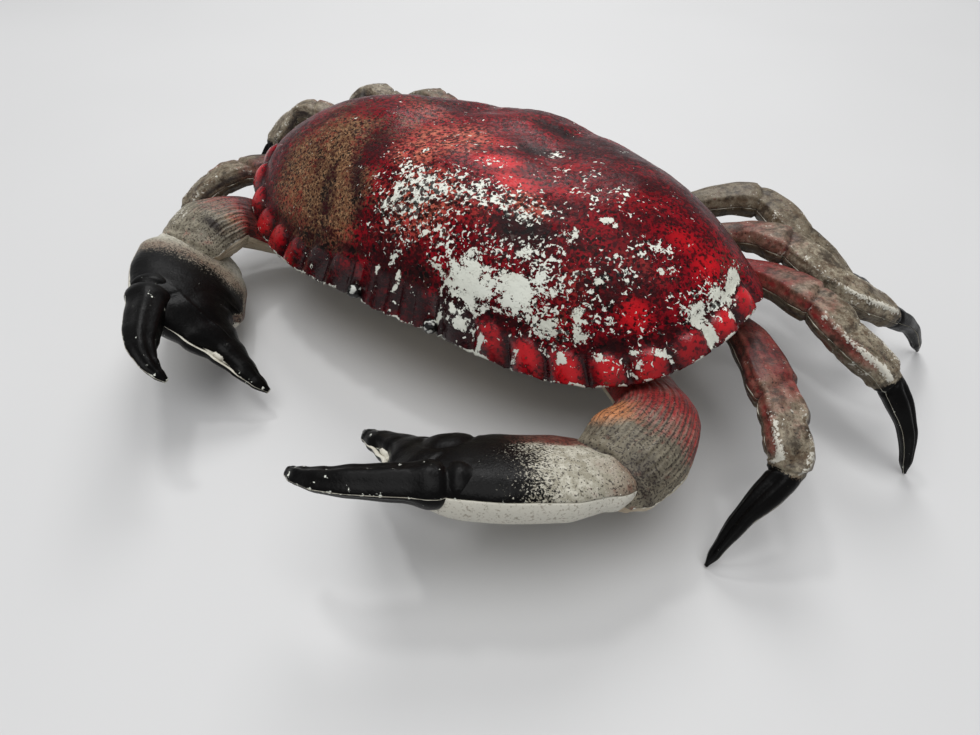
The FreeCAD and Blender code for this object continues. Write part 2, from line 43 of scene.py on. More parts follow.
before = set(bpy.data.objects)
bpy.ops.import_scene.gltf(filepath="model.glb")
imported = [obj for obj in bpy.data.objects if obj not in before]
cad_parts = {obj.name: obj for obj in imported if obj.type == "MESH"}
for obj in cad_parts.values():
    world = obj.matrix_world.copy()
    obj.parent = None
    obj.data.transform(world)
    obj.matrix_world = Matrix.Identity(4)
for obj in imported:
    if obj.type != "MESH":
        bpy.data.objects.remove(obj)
cad_low, cad_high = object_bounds()

# ---- sizes of the body
HALF_WIDTH = 90.0
FRONT = 53.3
REAR = 60.5
RIM = 31.0
RIM_SAG = 19.3
RIM_LIFT = 29.3
REAR_DROP = 1.0
DOME = 33.8
BODY_WALL = 1.5
LIMB_WALL = 1.2
GLUE_GAP = 0.16
FRONT_POWER = 2.7
REAR_POWER = 1.6
DOME_POWER = 3.6
LOBE_PITCH = 11.6
LOBE_DEPTH = 1.7
LOBE_SWELL = 1.7
LOBE_REACH = 12.0
ORBIT = 14.5
ORBIT_RADIUS = 3.4
ORBIT_DEPTH = 2.6
TOOTH_PITCH = 5.4
TOOTH_DEPTH = 0.9
RELIEF = 1.5
STERNUM = 13.0

# Swells and hollows of the back: across, fore-and-aft, reach both ways, height.
REGIONS = [
    (0, -0.22, 0.24, 0.17, 1), (0.2, -0.36, 0.12, 0.1, 0.6), (0.52, -0.26, 0.15, 0.12, 0.6),
    (0.55, 0.1, 0.24, 0.2, 0.7), (0, 0.2, 0.13, 0.15, 0.9), (0, 0.44, 0.16, 0.1, 0.5),
    (0.27, -0.02, 0.07, 0.17, -0.9), (0.38, -0.24, 0.05, 0.14, -0.6),
    (0.2, 0.26, 0.05, 0.16, -0.7), (0.17, 0.01, 0.06, 0.06, -0.6), (0.15, 0.2, 0.09, 0.05, -0.6),
    (0.1, 0.33, 0.04, 0.06, -0.3), (0.12, -0.5, 0.05, 0.05, 0.6), (0.3, -0.5, 0.05, 0.04, 0.5),
    (0.42, -0.05, 0.05, 0.05, 0.5),
]


def outline(angle):
    """A point of the plain rim, seen from above."""
    c, s = math.cos(angle), math.sin(angle)
    power, depth = (FRONT_POWER, FRONT) if s < 0 else (REAR_POWER, REAR)
    reach = (abs(c) ** power + abs(s) ** power) ** (-1.0 / power)
    return Vector((HALF_WIDTH * c * reach, depth * s * reach, 0))


def rim_level(point):
    share = min(abs(point.x) / HALF_WIDTH, 1.0)
    if point.y < 0:
        return RIM - RIM_SAG * share ** 2 + RIM_LIFT * share ** 4
    corner = RIM - RIM_SAG + RIM_LIFT
    return corner * share ** 2 + (RIM - REAR_DROP) * (1 - share ** 2)


def even_rim(start, stop, count):
    """Rim points at even steps of length between two angles, with their lengths."""
    fine = 12 * count
    points = [outline(start + (stop - start) * k / fine) for k in range(fine + 1)]
    lengths = [0.0]
    for a, b in zip(points, points[1:]):
        lengths.append(lengths[-1] + (b - a).length)
    marks = []
    place = 0
    for step in range(count + 1):
        wanted = lengths[-1] * step / count
        while place < fine and lengths[place] < wanted - 1e-6:
            place += 1
        marks.append((points[place], lengths[place], lengths[-1]))
    return marks


def crimp(along, total):
    """Dip of the rim, height of a lobe and its number at a length from the middle."""
    dip = ORBIT_DEPTH * math.exp(-((along - ORBIT) / ORBIT_RADIUS) ** 2)
    if along < ORBIT - ORBIT_RADIUS:
        wave = abs(math.cos(math.pi * along / TOOTH_PITCH)) ** 0.7
        return dip + TOOTH_DEPTH * (1 - wave), 0.0, -1
    start = ORBIT + ORBIT_RADIUS
    if along < start:
        return dip, 0.0, -1
    count = max(1, round((total - start) / LOBE_PITCH))
    phase = (along - start) / (total - start) * count
    wave = abs(math.sin(math.pi * phase)) ** 0.6
    return dip + LOBE_DEPTH * (1 - wave), wave, int(phase)


def rim_ring(front_count, rear_count):
    """The rim once round from the rear middle: point, outward, dip, lobe height, lobe number."""
    half = []
    for point, along, total in even_rim(-math.pi / 2, 0, front_count):
        dip, lobe, number = crimp(along, total)
        half.append((point, dip, lobe, number))
    for point, along, total in even_rim(0, math.pi / 2, rear_count)[1:]:
        half.append((point, 0.0, 0.0, -2))
    ring = [(Vector((-p.x, p.y, 0)), d, w, n) for p, d, w, n in half][::-1] + half[1:]
    columns = []
    for k, (point, dip, lobe, number) in enumerate(ring):
        before = ring[k - 1][0] if k > 0 else ring[-2][0]
        after = ring[k + 1][0] if k < len(ring) - 1 else ring[1][0]
        along = (after - before).normalized()
        columns.append((Vector((point.x, point.y, rim_level(point))),
                        Vector((along.y, -along.x, 0)), dip, lobe, number))
    return columns


def region_rise(x, y):
    rise = 0.0
    for across, fore, reach_x, reach_y, height in REGIONS:
        for side in ((1, -1) if across else (1,)):
            u = (x / HALF_WIDTH - side * across) / reach_x
            v = (y / HALF_WIDTH - fore) / reach_y
            rise += height * math.exp(-u * u - v * v)
    return rise * RELIEF


def bell(value, middle, reach):
    return math.exp(-((value - middle) / reach) ** 2)


def smooth(low, high, value):
    share = min(1.0, max(0.0, (value - low) / (high - low)))
    return share * share * (3 - 2 * share)


def grain(point, scale, salt=0.0):
    """Smooth noise from -1 to 1 with features of about scale millimetres."""
    return noise.noise(point / scale + Vector((salt, salt * 1.7, -salt)))


def places(table, x, y):
    """The strongest soft patch here: x, y, reach along, reach across, turn and strength."""
    strongest = 0.0
    for px, py, along, across, turn, strength in table:
        c, s = math.cos(math.radians(turn)), math.sin(math.radians(turn))
        dx, dy = x - px, y - py
        u, v = (dx * c + dy * s) / along, (dy * c - dx * s) / across
        strongest = max(strongest, strength * math.exp(-(u * u + v * v) ** 1.5))
    return strongest


# Places on the back where the paint has come off down to the pale plastic, in
# millimetres from the middle of the body.
FLAKED = [
    (23, -43.5, 10, 4.4, 8, 1.02), (36, -41, 9, 4, 8, 0.96), (42, -37.5, 6, 2.4, 10, 0.7),
    (35, -34, 4, 2, 0, 0.58), (-7, -47.5, 1.6, 1, 30, 0.72), (0.6, -48, 1.2, 2, -12, 0.95),
    (-2, -45.5, 1.5, 0.9, 0, 0.72), (47, -42, 4, 1.8, 10, 0.72), (55, -39, 3.4, 2.2, -20, 0.8),
    (41.2, -48.5, 1.7, 1.2, 20, 0.9), (53.3, -44.6, 1.7, 1.3, 0, 0.86),
    (62, -40.5, 2.4, 1.2, 0, 0.95), (76, -31.5, 3.2, 1.3, 35, 1), (70, -35, 2.6, 1, 30, 0.8),
    (82, -5, 7, 1.9, 100, 1.05), (81, -12.5, 4, 2.4, 70, 0.8), (79, -21, 4, 2.6, 50, 0.82),
    (84, -21, 2.4, 2.6, 0, 0.92), (86, -13.5, 1.6, 2.4, 0, 0.85), (42, -26, 4.5, 2.4, 20, 0.62),
    (50, -18, 2.6, 1.4, 10, 0.8), (55, -30, 2.3, 1.8, 0, 0.62), (68.4, -19, 3.6, 1.4, 48, 0.86),
    (64, -16.5, 2, 1.3, 30, 0.7), (16.2, -49.5, 2, 0.8, 70, 1), (20.5, -48.6, 2.2, 1, -25, 1),
    (24, -50, 2.2, 1, 20, 1), (31, -50.4, 1.3, 1.5, 0, 1), (-9, -36, 1.5, 2.8, 20, 0.62),
    (6, -39, 4, 2, 25, 0.5), (9, -16, 2.6, 1.6, 0, 0.5), (-33, -50.5, 1, 0.7, 0, 0.7),
    (-15, -50.5, 1.6, 0.7, 0, 0.6),
]
# Places where it has come off in a fine net round the dark specks.
NETTED = [
    (-3, -33, 14, 9, 28, 0.8), (-9, -27, 9, 5, 40, 0.7), (8, -28, 14, 7, 10, 0.66),
    (24, -25, 15, 6, 14, 0.72), (34, -36, 20, 8, 8, 0.66), (10, -15, 6, 4, 0, 0.52),
    (21, 2, 5, 2.6, 10, 0.56), (57, -35, 8, 5, 0, 0.6), (57, -27, 10, 5, 20, 0.48),
    (62, -18, 9, 4, 30, 0.46), (45, -42, 12, 4, 0, 0.6), (79, -17, 10, 5, 62, 0.66),
    (70, -31, 8, 4, 30, 0.42), (30, -8, 12, 7, 0, 0.36), (44, -12, 14, 8, 10, 0.34),
    (-5, -43, 9, 4, 0, 0.48), (-14, -22, 8, 6, 0, 0.44), (24, -49.5, 9, 2, 0, 0.5),
    (0, -8, 14, 8, 0, 0.25), (68, -38, 8, 2.4, 30, 0.4), (12, -40, 8, 5, 20, 0.55),
    (-17, -33, 5, 6, 0, 0.4),
]
# Tan and brown places.
TANNED = [
    (-38, -34, 16, 12, 125, 1.05), (-58, -30, 8, 12, 20, 0.75), (-27, -38, 9, 10, 0, 0.85),
    (-50, -33, 12, 13, 0, 0.85), (-46, -20, 13, 11, 0, 0.7), (-33, -16, 12, 9, 0, 0.6),
    (-50, -8, 12, 9, 0, 0.4), (-26, -8, 10, 7, 0, 0.35), (-40, -44, 14, 5, -14, 0.7),
    (-30, 8, 12, 8, 0, 0.3),
]
# Salmon and orange places.
WARMED = [
    (-10, -9, 14, 12, 20, 1.15), (-13, -20, 10, 8, 0, 1), (-1, -33, 13, 10, 20, 0.95),
    (27, -24, 8, 5, 10, 0.95), (-28, 4, 12, 7, 0, 0.55), (-38, -45, 10, 3.6, -18, 0.45),
    (-52, -38, 5, 8, -20, 0.5), (50, -34, 6, 4, 0, 0.3), (14, -30, 10, 5, 10, 0.45),
    (-24, -45, 7, 3, 0, 0.5), (60, -24, 8, 4, 20, 0.3),
]
# Dark, near-black places, partly dark paint and partly painted shade.
DARKENED = [
    (15, 1, 6.5, 3.4, 10, 1), (13.5, 18, 11, 4, 0, 1), (30, -31, 6, 3, 10, 1),
    (57, -31, 8, 5, 0, 0.62), (-15.6, -51.5, 7, 3, 0, 1.3), (18, -48.5, 5.5, 2.8, 0, 1.3),
    (-32, -49, 18, 5, -10, 1), (2, -49.5, 17, 4.4, 0, 1), (31, -30, 9, 4, 10, 1.3),
    (-74, -16, 10, 16, 70, 0.62), (-66, -30, 8, 10, 40, 0.45), (34, -51.5, 8, 1.6, 0, 0.8),
    (21, -50, 8, 4.4, 6, 1.6), (29, -51.5, 5, 1.6, 0, 0.9), (-6, -45, 8, 3.6, 0, 0.62),
    (4, -45.6, 6, 3.4, 0, 0.66), (41, -45, 5, 3, 0, 0.55), (35, -50, 5, 2, 0, 0.6),
    (36, 17, 24, 10, 0, 0.66), (62, 14, 22, 11, 0, 0.58), (-34, 17, 22, 10, 0, 0.55),
    (-36, -36, 11, 2.8, 122, 0.8), (-26, -33, 13, 2.8, 130, 0.86), (-46, -28, 9, 2.4, 118, 0.5),
    (28, 8, 10, 5, 0, 0.62), (-30, -20, 10, 6, 120, 0.62), (66, -26, 5, 3, 0, 0.42),
    (70, -39, 6, 2, 25, 0.5), (-56, -12, 10, 4, 60, 0.55), (-24, -50, 8, 2.4, -8, 0.8),
    (-2, -52, 12, 2, 0, 0.85), (0, 28, 30, 9, 0, 0.5), (46, -26, 6, 3, 0, 0.5),
    (38, -20, 7, 3.4, 10, 0.4), (60, -8, 9, 3, 20, 0.35), (-12, -40, 6, 4, 0, 0.4),
    (50, 2, 12, 4, 10, 0.45), (-62, 6, 18, 14, 0, 0.62), (-52, 22, 16, 10, 0, 0.5),
]
# Clear bright red places.
BRIGHT = [
    (11, -12.5, 8, 4, 20, 1), (20, -18, 8, 4, 0, 0.85), (66, -31, 5, 3, 20, 0.9),
    (75.5, -10, 4, 6, 0, 0.75), (68, -9, 6, 4, 20, 0.6), (2, -3, 9, 4, 10, 0.5),
    (52, -8, 12, 6, 20, 0.3), (-20, -4, 9, 5, 0, 0.3), (36, -14, 7, 3, 20, 0.4),
    (30, -3, 8, 3, 10, 0.35),
]


# ---- making skins
# Channels that also make the wall thinner, by at most this share of it: the trimmed edge
# and the tips.
THINNING = ("edge", "tapered")
THINNED_BY = 0.72
THIN_STEPS = 10
# Vertices nearer than this, in metres, are one.
DOUBLES = 0.00002
# How far, in millimetres, a skin stays inside the box of the solids.
INSIDE_BOX = 0.02
# One face in so many is asked which way it looks.
SAMPLED = 37


def kept_in(spot):
    """The spot, drawn back where it would stand out of the box of the solids."""
    return Vector([min(max(c, low / MM + INSIDE_BOX), high / MM - INSIDE_BOX)
                   for c, low, high in zip(spot, cad_low, cad_high)])


def new_piece(name, bm):
    """A smooth piece made of the given bmesh."""
    for face in bm.faces:
        face.smooth = True
    mesh = bpy.data.meshes.new(name)
    bm.to_mesh(mesh)
    bm.free()
    piece = bpy.data.objects.new(name, mesh)
    bpy.context.scene.collection.objects.link(piece)
    return piece


def skin_sheet(name, steps, place, channels, closed=False):
    """A sheet of columns by rows, laid where place(u, w) says; place also paints channels."""
    bm = bmesh.new()
    bmesh.ops.create_grid(bm, x_segments=steps[0], y_segments=steps[1], size=1.0)
    layers = {key: bm.verts.layers.float.new(key) for key in channels}
    for vert in bm.verts:
        spot, paint = place((vert.co.x + 1) / 2, (vert.co.y + 1) / 2)
        vert.co = kept_in(spot) * MM
        for key, layer in layers.items():
            vert[layer] = paint.get(key, 0.0)
    if closed:
        bmesh.ops.remove_doubles(bm, verts=bm.verts, dist=DOUBLES)
    bmesh.ops.recalc_face_normals(bm, faces=bm.faces)
    thinners = [layers[key] for key in THINNING if key in layers]
    thinned = [max(vert[layer] for layer in thinners) for vert in bm.verts]
    piece = new_piece(name, bm)
    group = piece.vertex_groups.new(name="wall")
    for step in range(THIN_STEPS + 1):
        chosen = [k for k, share in enumerate(thinned)
                  if round(min(1.0, share) * THIN_STEPS) == step]
        group.add(chosen, 1 - THINNED_BY * step / THIN_STEPS, "REPLACE")
    return piece


def face_out(piece, outward):
    """Turns the sheet round when its faces look against outward, which gives the way out."""
    mesh = piece.data
    votes = 0.0
    for poly in list(mesh.polygons)[::SAMPLED]:
        votes += poly.normal.dot(outward(poly.center / MM))
    if votes < 0:
        mesh.flip_normals()


def walled(piece, thickness, paint):
    """Gives a sheet its wall, with bare plastic inside and on the trimmed edge."""
    piece.data.materials.append(paint)
    piece.data.materials.append(raw_plastic)
    wall = piece.modifiers.new("wall", "SOLIDIFY")
    wall.thickness = thickness * MM
    wall.offset = -1.0
    wall.use_even_offset = False
    wall.vertex_group = "wall"
    wall.material_offset = 1
    wall.material_offset_rim = 1


def place_piece(piece, node, slot):
    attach(piece, "root")
    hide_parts(node)


# ---- body skins
def seated(x, y, share, rim, outward, dip):
    """A spot of a body skin, drawn in near the rim where the rim dips."""
    inset = (1 - share) * math.hypot(rim.x, rim.y)
    draw = dip * math.exp(-(inset / (LOBE_REACH * 0.5)) ** 2)
    return x - outward.x * draw, y - outward.y * draw


def picked(columns, u):
    """Column values at a share of the way round, blended between neighbours."""
    at = u * (len(columns) - 1)
    k = min(int(at), len(columns) - 2)
    t = at - k
    a, b = columns[k], columns[k + 1]
    return (a[0].lerp(b[0], t), a[1].lerp(b[1], t).normalized(), a[2] + (b[2] - a[2]) * t,
            a[3] + (b[3] - a[3]) * t, a[4])


RING = rim_ring(300, 90)
UPPER_STEPS = (620, 78)
LOWER_STEPS = (360, 110)
# Each lobe of the rim swells about this far inside the rim, over this half length; the
# right side's lobes stand out more than the left side's.
LOBE_MIDDLE = 2.3
LOBE_HALF = 4.3
RIGHT_LOBES = 1.25
# The lobes turn bright red, strongest on their swollen tops as a painted highlight, between these
# distances from the middle of the dark front.
DARK_FRONT = -4.0
LOBES_RED_FROM, LOBES_RED_FULL = 26.0, 40.0


def upper_place(u, w):
    rim, outward, dip, lobe, number = picked(RING, u)
    share = 1 - (1 - w) ** 1.35
    x, y = seated(rim.x * share, rim.y * share, share, rim, outward, dip)
    level = RIM + (rim.z - RIM) * share ** 2 + DOME * (1 - share ** DOME_POWER)
    level += region_rise(x, y) * (1 - share ** 8)
    inset = (1 - share) * math.hypot(rim.x, rim.y)
    front = smooth(6.0, -4.0, rim.y)
    plumper = LOBE_SWELL * (1.0 if rim.x > 0 else RIGHT_LOBES)
    middle = (inset - LOBE_MIDDLE) / LOBE_HALF
    bulb = max(0.0, lobe * lobe - middle * middle) ** 0.6 if number >= 0 else 0.0
    puff = bell(inset, 2.4, 3.8)
    groove = bell(inset, LOBE_REACH * 0.58, LOBE_REACH * 0.12)
    level += (plumper * (1.5 * bulb - 0.8) * puff - 0.7 * groove) * front
    spot = Vector((x, y, level))
    coarse = grain(spot, 11.0) * 0.26 + grain(spot, 5.0, 3.0) * 0.16 + grain(spot, 2.2, 5.0) * 0.08
    level += (coarse - 0.28) * smooth(0.0, 3.0, inset)
    if y > 20:
        ripple = math.sin(y * 2.4 + grain(spot, 9.0) * 2)
        level += 0.10 * ripple * smooth(20, 34, y) * smooth(0, 4, inset)
    spot.z = level
    plump = puff * front
    inland = 1 - smooth(6.5, 3.5, inset) * front
    deep = 0.7 + 0.6 * grain(spot, 7.0, 6.0)
    chipped = (0.62 + 0.5 * grain(spot, 3.0, 8.0)) * smooth(0.5, 0.15, inset) * front
    # painted shade between the lobes and in the groove behind them; bright red on the lobes,
    # strongest on their swollen tops as a painted highlight
    shade_between_lobes = (1 - bulb) * plump * 1.1 * (number >= 0)
    lobe_red_and_highlight = bulb * plump * 1.2 * deep
    lobe_red_and_highlight *= smooth(LOBES_RED_FROM, LOBES_RED_FULL, abs(x - DARK_FRONT))
    paint = {
        "flaked": max(places(FLAKED, x, y), chipped),
        "netted": places(NETTED, x, y),
        "tanned": places(TANNED, x, y) * inland,
        "warmed": places(WARMED, x, y),
        # painted shade between and behind the lobes, and the lobe red with its painted highlight on
        # their tops
        "darkened": max(places(DARKENED, x, y), shade_between_lobes, groove * front * deep),
        "bright": max(places(BRIGHT, x, y), lobe_red_and_highlight),
        "lobed": smooth(6.2, 4.2, inset) * front,
        "edge": smooth(2.2, 0.3, inset) * front,
    }
    return spot, paint


SHELL_CHANNELS = ("flaked", "netted", "tanned", "warmed", "darkened", "bright", "lobed", "edge")


def lower_place(u, w):
    rim, outward, dip = picked(RING, u)[:3]
    edge = rim - outward * (BODY_WALL + 0.35)
    turn = math.atan2(edge.y, edge.x)
    forward = max(0.0, -math.sin(turn)) ** 3
    power = 2.4 - 1.1 * forward
    first = STERNUM / HALF_WIDTH
    flute = math.cos(5 * turn) ** 6
    climb = max(0.0, (w - first) / (1 - first))
    fade = math.sin(math.pi * min(1.0, 2 * climb)) ** 2
    level = edge.z * climb ** power + 0.9 * fade * flute
    x, y = seated(edge.x * w, edge.y * w, w, edge, outward, dip)
    # the tail flap folded under the body, with its cross grooves
    flap = 13.0 - 0.20 * (y + 8) if y > -12 else 0.0
    if flap > 0:
        line = bell(abs(x), flap, 0.9)
        cross = bell((y + 12) % 9.5, 4.75, 0.6) * smooth(flap, flap - 2, abs(x))
        level += 0.55 * max(line, cross) * smooth(-12, -8, y)
    level += 0.06 * (1 + grain(Vector((x, y, 0)), 4.0))
    return Vector((x, y, level)), {"edge": smooth(0.985, 1.0, w)}


def body_skin(name, steps, place, channels, up, paint):
    piece = skin_sheet(name, steps, place, channels, closed=True)
    face_out(piece, lambda p: Vector((p.x / HALF_WIDTH, p.y / REAR, up)))
    walled(piece, BODY_WALL, paint)
    return piece


# ---- limbs
def blended(before, first, second, after, t):
    square = before * 2 - first * 5 + second * 4 - after
    cube = first * 3 - before - second * 3 + after
    return (first * 2 + (second - before) * t + square * t * t + cube * t * t * t) * 0.5


def along_path(points, place):
    """A point of the smooth line through the given points."""
    k = min(int(place), len(points) - 2)
    before = points[max(k - 1, 0)]
    after = points[min(k + 2, len(points) - 1)]
    return blended(before, points[k], points[k + 1], after, place - k)


def girth_at(girths, place):
    """Half width, top and bottom of a limb at a place, eased between the table's rows."""
    k = max(n for n in range(len(girths)) if girths[n][0] <= place + 1e-9)
    k = min(k, len(girths) - 2)
    a, b = girths[k], girths[k + 1]
    t = smooth(a[0], b[0], place)
    return [a[n] + (b[n] - a[n]) * t for n in (1, 2, 3)]


class Limb:
    """A limb's middle line and girths; point() gives a spot on its upper or lower skin."""

    def __init__(self, points, girths, fixed_up=None, reach=0.03):
        self.points = points
        self.girths = girths
        self.last = float(len(points) - 1)
        self.fixed_up = fixed_up
        self.reach = reach

    def frame_at(self, place):
        a = along_path(self.points, max(0.0, place - self.reach))
        b = along_path(self.points, min(self.last, place + self.reach))
        ahead = (b - a).normalized()
        guide = self.fixed_up if self.fixed_up else UP
        side = ahead.cross(guide).normalized()
        up = guide if self.fixed_up else side.cross(ahead).normalized()
        return along_path(self.points, place), side, up

    def point(self, place, angle, upward, shape):
        centre, side, up = self.frame_at(place)
        half, top, bottom = girth_at(self.girths, place)
        rise = top if upward > 0 else bottom
        c, s = math.cos(angle), math.sin(angle)
        out = (side * c * max(rise, 0.2) + up * s * upward * max(half, 0.2)).normalized()
        base = centre + side * (c * half) + up * (upward * (s * rise + GLUE_GAP / 2))
        return base + out * shape(place, angle, upward)


LIMB_CHANNELS = ("blackened", "reddened", "darkened", "edge", "chipped", "warmed", "browned",
                 "whitened", "tapered")
HALVES = (("upper", 1), ("lower", -1))


def edge_lips(angle, reach):
    """Rise towards both trimmed edges of a half limb."""
    return bell(angle, 0.0, reach) + bell(angle, math.pi, reach)


def edge_band(angle, reach):
    return max(bell(angle, 0.0, reach), bell(angle, math.pi, reach))


def torn_edge(place, angle, upward, rate, least, more):
    """Ragged height of a trimmed edge, along the limb."""
    return least + more * grain(Vector((place * rate, angle, upward)), 0.8)


def limb_skin(name, limb, upward, steps, shape, dye, paint):
    def place(u, w):
        at = limb.last * u
        angle = math.pi * w
        spot = limb.point(at, angle, upward, shape)
        return spot, dye(at, angle, upward, spot)
    piece = skin_sheet(name, steps, place, LIMB_CHANNELS)
    centres = [limb.frame_at(limb.last * k / 40)[0] for k in range(41)]

    def outward(p):
        nearest = min(centres, key=lambda c: (c - p).length_squared)
        return p - nearest
    face_out(piece, outward)
    walled(piece, LIMB_WALL, paint)
    return piece


def on_body(outwards, fore, height, side):
    return Vector((side * outwards * HALF_WIDTH, fore * HALF_WIDTH, height * RIM))


LEG_ROOT_SHARES = {
    1: [(0.68, 0.03, 0.83), (0.95, 0.01, 0.94)],
    2: [(0.62, 0.19, 0.83), (0.87, 0.3, 1)],
    3: [(0.48, 0.3, 0.83), (0.75, 0.48, 1.04)],
    4: [(0.31, 0.39, 0.8), (0.53, 0.61, 1.02)],
}
LEG_WAY_SHARES = {
    ("left", 1): ([(1.15, -0.24, 1.02), (1.22, -0.35, 0.97), (1.265, -0.42, 0.76)],
                  (1.182, -0.641)),
    ("left", 2): ([(1.125, 0.16, 1.19), (1.256, 0.09, 1.1), (1.402, 0.075, 0.87)], (1.572, 0.038)),
    ("left", 3): ([(0.953, 0.44, 1.18), (1.164, 0.37, 1.06), (1.326, 0.44, 0.82)], (1.489, 0.699)),
    ("left", 4): ([(0.765, 0.7, 1.17), (0.985, 0.57, 1.07), (1.15, 0.57, 0.8)], (1.27, 0.9)),
    ("right", 1): ([(1.1, -0.21, 1.02), (1.15, -0.33, 0.97), (1.2, -0.44, 0.72)], (1.13, -0.63)),
    ("right", 2): ([(1.16, 0.27, 1.23), (1.26, 0.24, 1.12), (1.32, 0.14, 0.82)], (1.33, -0.04)),
    ("right", 3): ([(0.93, 0.51, 1.3), (1.09, 0.56, 1.26), (1.22, 0.59, 0.88)], (1.31, 0.74)),
    ("right", 4): ([(0.75, 0.67, 1.24), (0.9, 0.74, 1.16), (1.02, 0.8, 0.9)], (1.1, 0.98)),
}
LEG_GIRTH_SHARES = [
    (0, 0.72, 0.8), (1, 0.82, 0.86), (1.5, 0.98, 1), (1.85, 1.02, 1), (2.05, 0.88, 0.9),
    (2.5, 1, 1), (2.95, 0.88, 0.9), (3.4, 0.98, 0.98), (3.9, 0.78, 0.84), (4.05, 0.66, 0.74),
    (4.4, 0.62, 0.66), (5, 0.42, 0.46), (5.6, 0.26, 0.3), (6, 0.08, 0.1),
]
LEG_WIDTH = 12.4
LEG_THICKNESS = 9.4
LEG_BOW = 2.6
LEG_STEPS = (190, 36)
LEG_LIP = 0.10
# The tips end this far above the floor.
TIP_CLEARANCE = 0.2
# Joints moulded in a leg: place in segments, how strongly each shows.
KNEES = ((2.0, 1.0), (2.96, 0.30), (4.0, 0.9))


def leg_limb(side_name, number, side):
    way, tip_share = LEG_WAY_SHARES[(side_name, number)]
    points = [on_body(*s, side) for s in LEG_ROOT_SHARES[number] + way]
    tip = on_body(tip_share[0], tip_share[1], 0.0, side)
    tip.z = TIP_CLEARANCE + LEG_GIRTH_SHARES[-1][2] * LEG_THICKNESS / 2
    ankle = points[-1]
    bulge = Vector((tip.x - ankle.x, tip.y - ankle.y, 0)).normalized() * LEG_BOW
    points += [(ankle + tip) * 0.5 + bulge + UP * LEG_BOW * 0.5, tip]
    girths = [(p, w * LEG_WIDTH / 2, t * LEG_THICKNESS / 2, t * LEG_THICKNESS / 2)
              for p, w, t in LEG_GIRTH_SHARES]
    return Limb(points, girths)


def slanted(place, knee, angle):
    """Place measured from a joint whose fold runs slantwise over the leg."""
    return place - knee - 0.13 * math.cos(angle)


def leg_shape(place, angle, upward):
    """Keels, joint folds and knuckles of a leg, as an offset of its skin."""
    swell = 0.0
    for knee, show in KNEES:
        off = slanted(place, knee, angle)
        swell -= 0.50 * show * bell(off, 0.03, 0.045)
        swell += 0.60 * show * smooth(-0.45, -0.04, off) * smooth(0.03, -0.02, off)
    body = smooth(1.0, 1.4, place) * smooth(4.05, 3.85, place)
    keel = bell(angle, 0.75, 0.15) + 0.8 * bell(angle, 2.25, 0.17)
    swell += (0.62 * keel - 0.38 * bell(angle, 1.5, 0.33)) * body
    last = smooth(4.05, 4.3, place) * smooth(6.0, 5.5, place)
    ridges = 0.34 * bell(angle, 1.1, 0.2) + 0.30 * bell(angle, 2.0, 0.2)
    swell += (ridges - 0.40 * bell(angle, 1.55, 0.14)) * last
    lip = edge_lips(angle, LEG_LIP) * (torn_edge(place, angle, upward, 9, 0.6, 0.7) - 0.8)
    swell += 0.10 * lip * smooth(1.1, 1.5, place) * smooth(5.6, 4.6, place)
    swell += 0.20 * grain(Vector((place * 3, angle * 2, upward * 5)), 0.7) * body
    swell += 0.22 * grain(Vector((place * 5, angle * 1.5, upward * 3)), 1.1) * body
    return swell


# How red each leg is near the body and how far along the red reaches.
LEG_REDS = {
    ("left", 1): (1, 3.2), ("left", 2): (1.15, 2.9), ("left", 3): (0.62, 2.8),
    ("left", 4): (0.3, 1.9), ("right", 1): (0.95, 2.7), ("right", 2): (0.75, 2.5),
    ("right", 3): (0.45, 2.6), ("right", 4): (0.55, 3),
}
# How brown each leg is; the right front ones are browner.
LEG_BROWNS = {1: 0.1, 2: 0.0, 3: 0.3, 4: 0.75}
RIGHT_FRONT_BROWN = 0.45


def leg_dye(side_name, number):
    strength, reach = LEG_REDS[(side_name, number)]
    rear = LEG_BROWNS[number]
    if side_name == "right" and number < 3:
        rear += RIGHT_FRONT_BROWN

    def dye(place, angle, upward, spot):
        # painted shade in the folds of the moulded joints
        crease = max(show * bell(slanted(place, knee, angle), 0.03, 0.035) for knee, show in KNEES)
        crease *= 0.55 + 0.5 * grain(spot, 5.0, 4.0)
        lip = edge_band(angle, LEG_LIP) * smooth(1.2, 1.8, place)
        # pale paint on the upper keels, partly a painted highlight along them
        keel = max(bell(angle, 0.75, 0.26), 0.6 * bell(angle, 2.25, 0.3)) if upward > 0 else 0.0
        wear = smooth(2.3, 3.8, place) * smooth(4.02, 3.95, place)
        blush = smooth(reach, reach - 1.7, place + 0.6 * grain(spot, 7.0, 2.0))
        flank = 0.8 * bell(angle, 0.45, 0.45) * smooth(4.0, 3.0, place) * (number < 3)
        # painted shade along the rear side of the leg and in the top groove between the keels
        shadow = bell(angle, 2.85, 0.42) * smooth(1.2, 2.2, place)
        streak = 0.5 * grain(Vector((place * 2.0, angle * 5, number)), 0.8)
        top_groove_shade = bell(angle, 1.5, 0.3) * wear
        brown = max(0.55 * bell(angle, 1.5, 0.5) * wear, rear * 0.8, 0.35 + streak)
        return {
            "blackened": smooth(3.94, 4.16, place + 0.05 * grain(spot, 4.0)),
            "reddened": strength * max(blush, flank) * (1.0 if upward > 0 else 0.35),
            # dark paint near the root and in streaks, with the painted shade of the folds, the top
            # groove and the rear side
            "darkened": max(crease, 0.42 * smooth(1.6, 0.9, place), 0.35 * top_groove_shade,
                            (0.62 + streak) * smooth(2.3, 1.7, place) * (number == 1),
                            (0.85 * shadow + streak) * (upward > 0)),
            "browned": brown + (0.4 if upward < 0 else 0.0),
            "whitened": keel * (0.25 + 0.75 * wear) * smooth(1.4, 2.4, place) * (1 - 0.5 * rear),
            "edge": 0.6 * lip,
            "chipped": 0.4 * smooth(4.6, 5.9, place),
            "tapered": smooth(4.8, 5.9, place),
        }
    return dye


